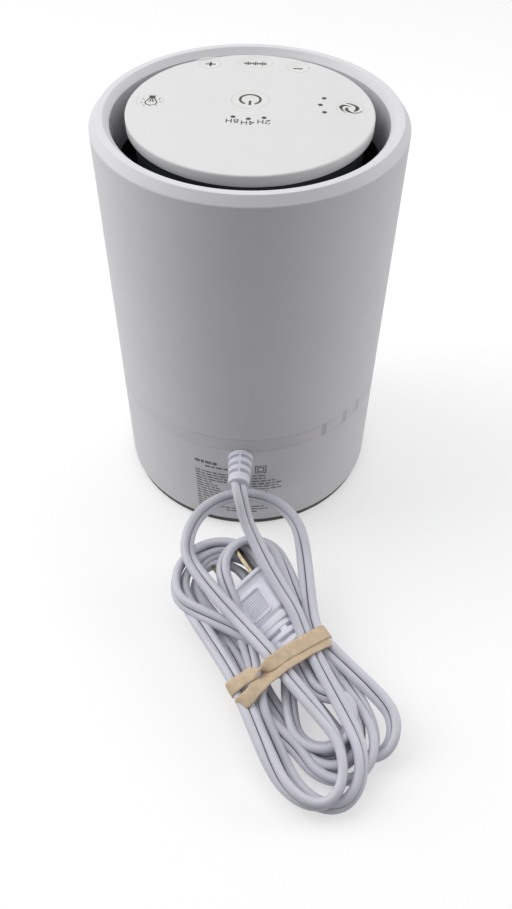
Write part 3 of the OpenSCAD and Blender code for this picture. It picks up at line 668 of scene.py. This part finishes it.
def plug_mesh(name):
    stretches = [(0, 5.4, 0.22), (5.4, 18.6, 0.12), (18.6, 25.01, 0.26)]
    xs = np.unique(np.round(np.concatenate([np.arange(*stretch) for stretch in stretches] + [[25.0]]), 3))
    rows = []
    for x in xs:
        a, b, c = plug_section(x)
        ring = []
        for side in (1, -1):
            for t in np.linspace(-1, 1, 45):
                y = -side * t * (a - c)
                z = b + (plug_relief(x, y) if 4.6 < x < 19 else 0)
                ring.append((x, y, side * z))
            bends = [math.radians(15 * k) for k in range(1, 6)]
            ring += [(x, -side * (a - c + c * math.sin(q)), side * (b - c + c * math.cos(q))) for q in bends]
            ring += [(x, -side * a, side * t * (b - c)) for t in np.linspace(1, -1, 7)]
            ring += [(x, -side * (a - c + c * math.cos(q)), -side * (b - c + c * math.sin(q))) for q in bends]
        rows.append([tuple(plug_to_row @ Vector(p)) for p in ring])
    return swept(name, rows)


plug = plug_mesh("plug_grip")
SLEEVE_X = 24.6  # where the ribbed sleeve starts, from the plug's face
plug_sleeve = flat_sleeve("plug_sleeve", lambda s, a, b: tuple(plug_to_row @ Vector((SLEEVE_X + s, a, b))),
                          15.3, 8.9, 8.2, 4.5, 4, [(-5.5, 2.0), (-1.0, 6.0), (-6.0, 1.5)])


def band_loop():
    """The line that a band takes round the strands where it is, in the hank's own across and up directions."""
    inverse = hank_to_row.inverted()
    c, s = math.cos(RUN), math.sin(RUN)
    near = []
    for p in line:
        q = inverse @ Vector(tuple(p))
        dx, dy = q.x - WAIST[0], q.y - WAIST[1]
        u, v = -s * dx + c * dy, c * dx + s * dy
        if abs(v) < 4.5 and abs(u) < 24:
            near.append((u, q.z))
    turns = np.linspace(0, 2 * math.pi, 16, endpoint=False)
    grown = [(u + 2.0 * math.cos(a), w + 2.2 * math.sin(a)) for u, w in near for a in turns]
    grown = sorted(set((round(u, 3), round(w, 3)) for u, w in grown))

    def turns_right(a, b, c):
        return (b[0] - a[0]) * (c[1] - a[1]) <= (b[1] - a[1]) * (c[0] - a[0])

    def half(points):
        out = []
        for p in points:
            while len(out) > 1 and turns_right(*out[-2:], p):
                out.pop()
            out.append(p)
        return out[:-1]

    hull = np.array(half(grown) + half(grown[::-1]))
    hull = resample(np.vstack([hull, hull[:1]]), 0.5)[:-1]
    for _ in range(8):
        hull = 0.25 * np.roll(hull, 1, axis=0) + 0.5 * hull + 0.25 * np.roll(hull, -1, axis=0)
    return hull


def table(u, rows):
    """Smooth values from rows of (u, value)."""
    xs = np.array([r[0] for r in rows], float)
    i = int(np.clip(np.searchsorted(xs, u) - 1, 0, len(xs) - 2))
    t = float(smoothstep(xs[i], xs[i + 1], u))
    return rows[i][1] * (1 - t) + rows[i + 1][1] * t


# Each strand of the band: where its middle runs along the hank, its lift over the other, its twist and its
# width. Rows go from the left end (-24) over the top to the right end (24); under is how far it shifts along
# the hank and lifts on its way back underneath.
STRANDS = [
    dict(v=[(-24, -2.6), (-18, -2.4), (-11, -2.2), (-7, -0.6), (-3, -0.8), (4, -1.2), (14, -1.0), (24, -1.6)],
         lift=[(-24, 0.5), (-12, 0.6), (-8, 1.6), (-4, 1.4), (2, 1.1), (24, 1.1)],
         twist=[(-24, 0), (-12, 10), (-4, 170), (24, 180)],
         width=[(-24, 6.0), (-12, 5.4), (-7.5, 4.2), (-3, 5.6), (8, 5.8), (24, 6.0)], under=(-3.0, 1.2)),
    dict(v=[(-24, 5.4), (-18, 4.8), (-12, 3.3), (-6, 2.6), (2, 1.8), (12, 1.7), (24, 1.9)],
         lift=[(-24, 0.1), (24, 0.1)],
         twist=[(-24, -14), (-16, -10), (-8, 16), (0, 6), (24, 0)],
         width=[(-24, 5.8), (-12, 6.0), (-6, 6.0), (24, 6.0)], under=(-7.5, 0.1)),
]


def band_strand(loop, spec):
    thick = 0.5
    n = len(loop)
    ahead = np.roll(loop, -1, axis=0) - np.roll(loop, 1, axis=0)
    ahead /= np.linalg.norm(ahead, axis=1)[:, None]
    normal = np.stack([ahead[:, 1], -ahead[:, 0]], axis=1)
    shift, under_lift = spec["under"]
    rows = []
    for i in range(n):
        u, w = loop[i]
        top = float(smoothstep(-3.0, 1.0, w))
        ends = table(u, [(-24, spec["v"][0][1]), (24, spec["v"][-1][1])]) + shift * max(0.0, 1 - (u / 24) ** 2)
        v = table(u, spec["v"]) * top + ends * (1 - top)
        lift = table(u, spec["lift"]) * top + under_lift * (1 - top)
        half = table(u, spec["width"]) / 2
        wave = 0.12 * math.sin(0.9 * u + 2.0 * v)
        a = math.radians(table(u, spec["twist"]))
        clear = abs(math.sin(a)) * half * 0.35
        centre = loop[i] + normal[i] * (thick + lift + wave + clear)
        ring = []
        for k in range(20):
            c, s = math.cos(math.pi * k / 10), math.sin(math.pi * k / 10)
            x = half * math.copysign(abs(c) ** 0.35, c)
            y = thick * math.copysign(abs(s) ** 0.6, s) + 0.12 * (1 - (x / half) ** 2)
            along, out = x * math.cos(a) - y * math.sin(a), x * math.sin(a) + y * math.cos(a)
            across = centre + normal[i] * out
            ring.append(at_waist(across[0], v + along, across[1]))
        rows.append(ring)
    return rows


# ---------------------------------------------------------------- shells with rounded edges

PANEL_TOP, PANEL_T, PANEL_R, PANEL_SKIRT = 177.8, 2.2, 46.4, 4.4
FACE = PANEL_TOP - 0.06  # the ink lies on it, still inside the CAD's height
BODY_R, SEAM_LOW, SEAM_HIGH, LAND_Z, SLOPE_Z = 60.0, 53.6, 60.6, 177.4, 174.1
DUCT_R, THROAT_R = 51.0, 52.4

sleeve_shell = revolved("sleeve_shell", rounded([
    (57.6, 59.2, 0), (58.7, 59.2, 0.1), (58.7, SEAM_HIGH, 0), (BODY_R, SEAM_HIGH, 0.3), (BODY_R, SLOPE_Z, 1.1),
    (57.3, LAND_Z, 0.45), (54.7, LAND_Z, 0.7), (THROAT_R, 175.0, 0), (57.6, 175.0, 0)]), 220)
dressed(sleeve_shell, "shell_white")
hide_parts("outer_sleeve")

ring_shell = revolved("light_ring_shell", rounded([
    (58.75, SEAM_LOW, 0), (BODY_R, SEAM_LOW, 0.22), (BODY_R, SEAM_HIGH, 0.22), (58.75, SEAM_HIGH, 0),
    (58.75, 59.15, 0), (58.2, 59.15, 0.1), (58.2, 55.05, 0.1), (58.75, 55.05, 0)]), 220)
dressed(ring_shell, "light_diffuser")
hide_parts("light_ring")

BOWL_FOOT, BOWL_TOP = 158.0, 175.0
bowl_line = []
for t in np.linspace(0, 1, 30):
    flare = 1 - math.cos(math.radians(90 * t))
    bowl_line.append((DUCT_R + (THROAT_R - DUCT_R) * flare, BOWL_FOOT + (BOWL_TOP - BOWL_FOOT) * t))
bowl_back = [(57.5, BOWL_TOP), (57.5, 172.6), (52.4, BOWL_FOOT)]
bowl_shell = revolved("outlet_bowl_shell", bowl_line + bowl_back, 220)
dressed(bowl_shell, "bowl_white")
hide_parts("outlet_bowl")

# ---------------------------------------------------------------- control panel and keys

# Each key: middle, radius, half length of its straight part, depth of its dish and of the rolled edge round it
KEYS = {
    "power_button": ((-0.3, 7.5), 7.0, 0.0, 0.03, 0.0),
    "light_button": ((-37.8, 3.8), 5.0, 0.0, 0.2, 0.08),
    "fan_button": ((37.2, 3.6), 5.0, 0.0, 0.24, 0.1),
    "sound_button": ((0.0, 39.2), 4.4, 2.4, 0.42, 0.16),
    "volume_up_button": ((-18.0, 36.8), 4.2, 0.0, 0.4, 0.16),
    "volume_down_button": ((17.3, 35.9), 4.2, 0.0, 0.4, 0.16),
}
KEY_GAP, SEEN_GAP = 0.2, 0.07
LENSES = [(-6, -6.2), (-0.3, -7.4), (5.4, -6.2), (27.4, 10.5), (26, 5.2), (27.5, -0.4)]
LENS_R = 0.9


def inset(key, x, y):
    """How far a point is inside a key's edge."""
    (cx, cy), r, half, _, _ = KEYS[key]
    return r - math.hypot(max(abs(x - cx) - half, 0), y - cy)


def key_height(key, x, y):
    """Height of a key's top: a rolled edge and a shallow dish."""
    d = inset(key, x, y)
    dish, roll = KEYS[key][3:]
    edge = roll * (1 - float(smoothstep(0, 0.5, d)))
    return FACE - edge - dish * float(smoothstep(0.1, 2.2, d))


def key_outline(key, d, count=72):
    """Points round a key, d inside its edge."""
    (cx, cy), r, half, _, _ = KEYS[key]
    out = []
    for k in range(count):
        a = 2 * math.pi * (k + 0.5) / count
        x = math.copysign(half, math.cos(a)) + (r - d) * math.cos(a)
        out.append((cx + x, cy + (r - d) * math.sin(a)))
    return out


def key_cap(key):
    grown = KEY_GAP - SEEN_GAP
    rows = [[(x, y, PANEL_TOP - PANEL_T - 0.2) for x, y in key_outline(key, -grown)],
            [(x, y, PANEL_TOP - 0.6) for x, y in key_outline(key, -grown)]]
    r = KEYS[key][1]
    for d in (-grown, -0.05, 0.05, 0.2, 0.35, 0.55, 0.8, 1.1, 1.4, 1.8, 2.2, r * 0.7, r * 0.9):
        rows.append([(x, y, key_height(key, x, y)) for x, y in key_outline(key, d)])
    return swept(key + "_cap", rows)


def circle(x, y, r, count):
    turns = [2 * math.pi * k / count for k in range(count)]
    return [(x + r * math.cos(a), y + r * math.sin(a)) for a in turns]


def panel_mesh(name):
    """The panel's plate: a flat top, rolled edges round the keys, a rounded rim and a side wall."""
    points, edges, holes = [], [], []

    def loop(ring, is_hole=False):
        first = len(points)
        points.extend(ring)
        n = len(ring)
        edges.extend((first + i, first + (i + 1) % n) for i in range(n))
        if is_hole:
            holes.append((first, n))

    for key in KEYS:
        for d in (0.0, 0.12, 0.3, 0.55, 0.9, 1.4):
            loop(key_outline(key, -KEY_GAP - d), d == 0)
    for x, y in LENSES:
        for d in (0.0, 0.15):
            loop(circle(x, y, LENS_R + d, 28), d == 0)
    steps = 200
    rim = len(points)
    edge_r = PANEL_R - 0.95
    loop(circle(0, 0, edge_r, steps))

    def clear(x, y):
        if math.hypot(x, y) > edge_r - 1:
            return False
        near = min(-inset(key, x, y) for key in KEYS)
        return near > KEY_GAP + 1.9 and min(math.hypot(x - a, y - b) for a, b in LENSES) > LENS_R + 0.8

    for i in range(-18, 19):
        for j in range(-20, 21):
            x, y = 3.0 * i + (1.5 if j % 2 else 0), 2.6 * j
            if clear(x, y):
                points.append((x, y))
    made, _, faces, origin, _, _ = delaunay_2d_cdt([Vector(p) for p in points], edges, [], 0, 1e-5)
    at = {}
    for i, sources in enumerate(origin):
        for s in sources:
            at[s] = i
    kept = []
    for f in faces:
        x, y = (sum(made[i][k] for i in f) / len(f) for k in (0, 1))
        in_key = any(inset(key, x, y) > -KEY_GAP for key in KEYS)
        in_lens = any(math.hypot(x - a, y - b) < LENS_R * 0.99 for a, b in LENSES)
        if not in_key and not in_lens:
            kept.append(tuple(f))

    def height(x, y):
        drop = 0.0
        for key in KEYS:
            d = -inset(key, x, y) - KEY_GAP
            drop = max(drop, KEYS[key][4] * (1 - float(smoothstep(0, 1.1, d))))
        drop *= float(smoothstep(edge_r, edge_r - 0.8, math.hypot(x, y)))
        return FACE - drop

    n = len(made)
    low = PANEL_TOP - PANEL_T
    verts = [(p[0], p[1], height(p[0], p[1])) for p in made] + [(p[0], p[1], low) for p in made]
    out = kept + [tuple(n + i for i in reversed(f)) for f in kept]
    for first, count in holes:
        for k in range(count):
            a, b = at[first + k], at[first + (k + 1) % count]
            out.append((a, b, n + b, n + a))
    skirt, bend = PANEL_TOP - PANEL_SKIRT, 0.7
    profile = [(edge_r + 0.2, FACE)]
    for q in np.radians(range(0, 91, 15)):
        profile.append((PANEL_R - bend + bend * math.sin(q), FACE - bend + bend * math.cos(q)))
    profile += [(PANEL_R, FACE - 1.0), (PANEL_R, skirt + 0.25), (PANEL_R - 0.2, skirt), (edge_r, skirt)]
    rows = [[at[rim + k] for k in range(steps)]]
    for r, z in profile:
        rows.append(range(len(verts), len(verts) + steps))
        verts += [(x, y, z) for x, y in circle(0, 0, r, steps)]
    rows.append([n + at[rim + k] for k in range(steps)])
    for above, row in zip(rows, rows[1:]):
        out += [(above[k], above[(k + 1) % steps], row[(k + 1) % steps], row[k]) for k in range(steps)]
    return new_mesh(name, verts, out, sharp=50)


plate = dressed(panel_mesh("control_panel_plate"), "panel_white")
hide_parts("control_panel")
for key in KEYS:
    cap = dressed(key_cap(key), "key_white", key)
    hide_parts(key)

# ---------------------------------------------------------------- printed marks


def ink(name, strokes, place, body, thick=0.02, under=0.06):
    """Printed marks: strokes of (points, width or widths) as thin slabs; place(x, y, lift) puts a point."""
    verts, faces = [], []
    for points, width in strokes:
        p = np.array(points, float)
        if np.ndim(width) == 0:
            width = [width] * len(p)
        joined = np.column_stack([p, np.array(width, float)])
        joined = resample(joined, 0.35)
        p, w = joined[:, :2], joined[:, 2]
        ahead = np.gradient(p, axis=0)
        ahead /= np.maximum(np.linalg.norm(ahead, axis=1)[:, None], 1e-9)
        side = np.stack([-ahead[:, 1], ahead[:, 0]], axis=1) * w[:, None] / 2
        first = len(verts)
        for a, b in zip(p + side, p - side):
            verts += [place(*a, thick), place(*b, thick), place(*b, -under), place(*a, -under)]
        for i in range(len(p) - 1):
            q = first + 4 * i
            for k in range(4):
                faces.append((q + k, q + (k + 1) % 4, q + 4 + (k + 1) % 4, q + 4 + k))
        faces.append((first, first + 1, first + 2, first + 3))
        q = first + 4 * (len(p) - 1)
        faces.append((q + 3, q + 2, q + 1, q))
    piece = new_mesh(name, verts, faces, smooth=False)
    return dressed(piece, "key_white" if body != "housing" else "shell_white", body, "ink")


def on_key(key):
    return lambda x, y, lift: (x, y, key_height(key, x, y) + lift)


def arc(cx, cy, r, a0, a1, steps):
    turns = [math.radians(a0 + (a1 - a0) * k / steps) for k in range(steps + 1)]
    return [(cx + r * math.cos(a), cy + r * math.sin(a)) for a in turns]


def key_mark(name, key, strokes):
    ink(name, strokes, on_key(key), key)


px, py = -0.4, 7.6
stem = [(px, py - 4.4), (px, py - 1.0)]
key_mark("power_mark", "power_button", [(arc(px, py, 3.85, -62, 242, 60), 0.95), (stem, 0.95)])
plus = [[(-20.0, 37.1), (-16.0, 37.1)], [(-18.0, 35.3), (-18.0, 38.9)]]
key_mark("plus_mark", "volume_up_button", [(bar, 0.85) for bar in plus])
key_mark("minus_mark", "volume_down_button", [([(15.1, 35.6), (18.9, 35.6)], 0.85)])
BARS = (1.3, 1.9, 3.0, 2.1, 1.1, 1.9, 3.2, 2.1, 1.1, 1.9, 3.2, 2.2, 1.3)
bars = [([(-4.5 + 0.73 * i, 38.9 - h / 2), (-4.5 + 0.73 * i, 38.9 + h / 2)], 0.48) for i, h in enumerate(BARS)]
key_mark("sound_mark", "sound_button", bars + [([(-4.6, 38.9), (4.4, 38.9)], 0.3)])

lx, ly = -37.4, 3.0
# The bulb mark's other strokes from the middle of its glass: points and width
BULB = [
    ([(-1.15, 4.1), (1.15, 4.1)], 1.8), ([(-0.2, 3.2), (-0.75, 0.3)], 0.45),
    ([(0.2, 3.2), (0.75, 0.3)], 0.45), ([(-0.75, 0.4), (0, 1.3), (0.75, 0.4)], 0.25),
    ([(-3.5, 2.6), (-2.6, 1.8)], 0.34), ([(-4.0, -0.4), (-3.1, -0.4)], 0.34),
    ([(-2.7, -3.1), (-2.0, -2.3)], 0.34), ([(-0.1, -3.5), (-0.2, -2.6)], 0.34),
    ([(1.8, -1.9), (2.6, -2.7)], 0.34), ([(2.9, 0.5), (3.8, 0.4)], 0.34), ([(2.5, 2.3), (3.2, 3.1)], 0.34),
]
glass = [(lx - 1.0, ly + 3.2)] + arc(lx, ly, 2.2, 135, 405, 40) + [(lx + 1.0, ly + 3.2)]
rest = [([(lx + x, ly + y) for x, y in stroke], width) for stroke, width in BULB]
key_mark("bulb_mark", "light_button", [(glass, 0.5)] + rest)

# Each curved blade of the fan mark: points along it with its width there
BLADES = [
    [(37.5, 5.0, 0.15), (35.6, 5.9, 0.8), (34.4, 5.6, 1.1), (33.6, 4.5, 1.2), (33.8, 3.2, 1.0),
     (34.4, 1.7, 0.6), (35.5, 0.2, 0.15)],
    [(35.4, 7.4, 0.15), (36.9, 7.2, 0.5), (38.4, 6.4, 0.8), (39.5, 5.2, 1.1), (39.8, 3.7, 1.5),
     (39.3, 2.4, 1.2), (38.3, 1.2, 0.15)],
    [(35.9, 4.2, 0.9), (35.7, 2.8, 1.3), (36.4, 1.5, 1.2), (37.4, 0.6, 0.9), (38.7, 0.0, 0.8),
     (40.2, 0.4, 0.6), (41.5, 1.7, 0.15)],
]
curls = [spline(blade, 6) for blade in BLADES]
key_mark("fan_mark", "fan_button", [(curl[:, :2], curl[:, 2]) for curl in curls])

GLYPHS = {
    "H": [[(0, 0), (0, 3)], [(1.8, 0), (1.8, 3)], [(0, 1.5), (1.8, 1.5)]],
    "2": [[(0.05, 2.25), (0.25, 2.75), (0.9, 3), (1.5, 2.75), (1.7, 2.2), (1.4, 1.5), (0.05, 0.2)],
          [(-0.05, 0.15), (1.75, 0.15)]],
    "4": [[(1.35, 0), (1.35, 3)], [(1.35, 3), (0, 1.0)], [(-0.1, 0.95), (1.9, 0.95)]],
    "8": [arc(0.9, 2.3, 0.62, 0, 360, 20), arc(0.9, 0.82, 0.8, 0, 360, 20)],
}


def timer_text(word, cx, cy):
    """Letters that read from +Y, their middle at cx, cy."""
    strokes = []
    for i, letter in enumerate(word):
        for path in GLYPHS[letter]:
            strokes.append(([(cx + 2.25 - (2.65 * i + x), cy + 1.4 - y * 0.93) for x, y in path], 0.42))
    return strokes


hours = timer_text("8H", -6.0, -9.3) + timer_text("4H", -0.4, -10.3) + timer_text("2H", 5.5, -9.3)
ink("timer_marks", hours, lambda x, y, lift: (x, y, FACE + lift), "housing")


def on_base(x, z, lift):
    r, a = BODY_R + lift, x / BODY_R
    return (r * math.sin(a), -r * math.cos(a), z)


def printed_row(x0, x1, z, height, seed):
    """A row of dashes that stand for words."""
    out, x, i = [], x0, seed
    while x < x1 - 0.5:
        i += 1
        word = 1.1 + 2.2 * ((i * 0.618034) % 1)
        end = min(x + word, x1)
        while x < end:
            w = 0.28 + 0.2 * ((i * 0.754877 + x * 0.37) % 1)
            tall = height * (0.75 + 0.25 * ((x * 1.7 + i * 0.41) % 1))
            out.append(([(x + w / 2, z - tall / 2), (x + w / 2, z + tall / 2)], w))
            x += w + 0.13
        x += 0.5
    return out


# The label's rows of print: left and right ends, height, height of its letters and where its dashes start
ROWS = [(-21.4, -10.1, 42.9, 1.9, 3), (-16.4, -6.2, 40.3, 1.2, 8)]
# Ends of the rows of each block of small print, its first height and pitch, its first seed and their step
BLOCKS = [
    ([(-21.4, -5.6), (-21.3, -5.6), (-21.3, -6.2), (-21.2, -5.4), (-21.2, -13.6), (-21.1, -11.5), (-21.1, -9.8),
      (-21.0, -5.0), (-21.0, -4.2), (-20.9, -12.6), (-20.9, -6.0), (-20.9, -12.0), (-20.8, -14.2), (-20.8, -8.4),
      (-20.8, -10.0)], 36.4, 1.78, 11, 5),
    ([(5.2, 11.6), (5.2, 11.0), (5.2, 15.6), (5.0, 18.6), (5.2, 17.4), (5.0, 18.4), (5.2, 12.0)],
     36.8, 1.9, 90, 7),
    ([(-3.0, 11.0), (-10.8, 13.6), (-7.0, 8.0)], 14.4, 1.9, 140, 9),
]
label = [dash for row in ROWS for dash in printed_row(*row)]
for ends, top, pitch, seed, step in BLOCKS:
    for i, (x0, x1) in enumerate(ends):
        label += printed_row(x0, x1, top - pitch * i, 0.95, seed + step * i)
# Double square, the general sign of an appliance with double insulation
SQUARE_AT, LINE_W = (8.9, 41.2), 0.4
for half in (2.3, 1.3):
    square = np.array([(-half, -half), (half, -half), (half, half), (-half, half)]) + SQUARE_AT
    for a, b in zip(square, np.roll(square, -1, axis=0)):
        past = unit(b - a) * 0.18
        label.append(([a - past, b + past], LINE_W))
ink("rating_marks", label, on_base, "housing")

# ---------------------------------------------------------------- pieces on the cord

dressed(relief, "plug_white")
dressed(neck, "plug_white")
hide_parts("strain_relief")
dressed(plug, "plug_white")
dressed(plug_sleeve, "plug_white")
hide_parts("plug_body")
loop = band_loop()
band_upper, band_lower = (
    dressed(swept("rubber_band_" + side, band_strand(loop, strand), closed=True), "band_tan")
    for side, strand in zip(("upper", "lower"), STRANDS))
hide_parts("rubber_band")

# ---------------------------------------------------------------- light and floor

SKY, BACKDROP = 0.62, 0.8

world = bpy.data.worlds.new("world")
scene.world = world
world.use_nodes = True
tree = world.node_tree
sky = tree.nodes["Background"]
split = tree.nodes.new("ShaderNodeSeparateXYZ")
tree.links.new(tree.nodes.new("ShaderNodeTexCoord").outputs["Generated"], split.inputs[0])
side = mapped(tree, split.outputs["Y"], -0.75, 0.05, 0.07, 1.0, True)
high = mapped(tree, split.outputs["Z"], 0.35, 0.95, 0.0, 1.0, True)
side = math_node(tree, "MAXIMUM", side, high)
# The backdrop is seen as one pale tone all round, whatever each side of it throws on the object
seen = tree.nodes.new("ShaderNodeLightPath").outputs["Is Camera Ray"]
thrown = math_node(tree, "MULTIPLY", side, SKY)
shown = math_node(tree, "MULTIPLY", seen, BACKDROP)
tree.links.new(math_node(tree, "MAXIMUM", thrown, shown), sky.inputs["Strength"])
sky.inputs["Color"].default_value = (0.985, 0.985, 1.0, 1)


def softbox(name, at, target, size, power):
    data = bpy.data.lights.new(name, "AREA")
    data.shape = "RECTANGLE"
    data.size, data.size_y = size
    data.energy = power
    ob = bpy.data.objects.new(name, data)
    ob.location = at
    ob.rotation_euler = (Vector(target) - Vector(at)).to_track_quat("-Z", "Y").to_euler()
    scene.collection.objects.link(ob)


softbox("top_light", (-0.1, 0.25, 1.1), (0, 0, 0.1), (0.9, 0.7), 2.35)
softbox("key_light", (-0.75, 0.05, 0.95), (0, -0.05, 0.08), (0.7, 0.7), 3.7)
softbox("left_light", (-1.0, 0.0, 0.5), (0, 0, 0.1), (0.5, 0.5), 2.0)
softbox("right_light", (1.0, 0.1, 0.5), (0, 0, 0.1), (0.5, 0.5), 2.4)

FLOOR = 3000
corners = [(x * FLOOR, y * FLOOR, 0) for x, y in ((-1, -1), (1, -1), (1, 1), (-1, 1))]
floor = new_mesh("floor", corners, [(0, 1, 2, 3)], smooth=False)
mat, tree, shader = node_tree("floor_look")
split = add(tree, "ShaderNodeSeparateXYZ", Vector=in_mm(tree))
near = mapped(tree, split.outputs["Y"], -420.0, -236.0, 0.0, 1.0, True)
seen = tree.nodes.new("ShaderNodeLightPath").outputs["Is Camera Ray"]
# The floor looks plain and pale everywhere, and throws less light on the object than it seems to
TONES = (("Base Color", 0.34, 0.44, 0.6), ("Emission Color", 0.0, 0.45, 1.0))
for socket, far_tone, near_tone, seen_tone in TONES:
    thrown = blended(tree, near, (far_tone,) * 3, (near_tone,) * 3)
    tree.links.new(blended(tree, seen, thrown, (seen_tone,) * 3), shader.inputs[socket])
set_on(shader, Roughness=0.9, Specular_IOR_Level=0.1, Emission_Strength=0.44)
floor.data.materials.append(mat)
scene.view_settings.view_transform = "Standard"
scene.view_settings.look = "None"
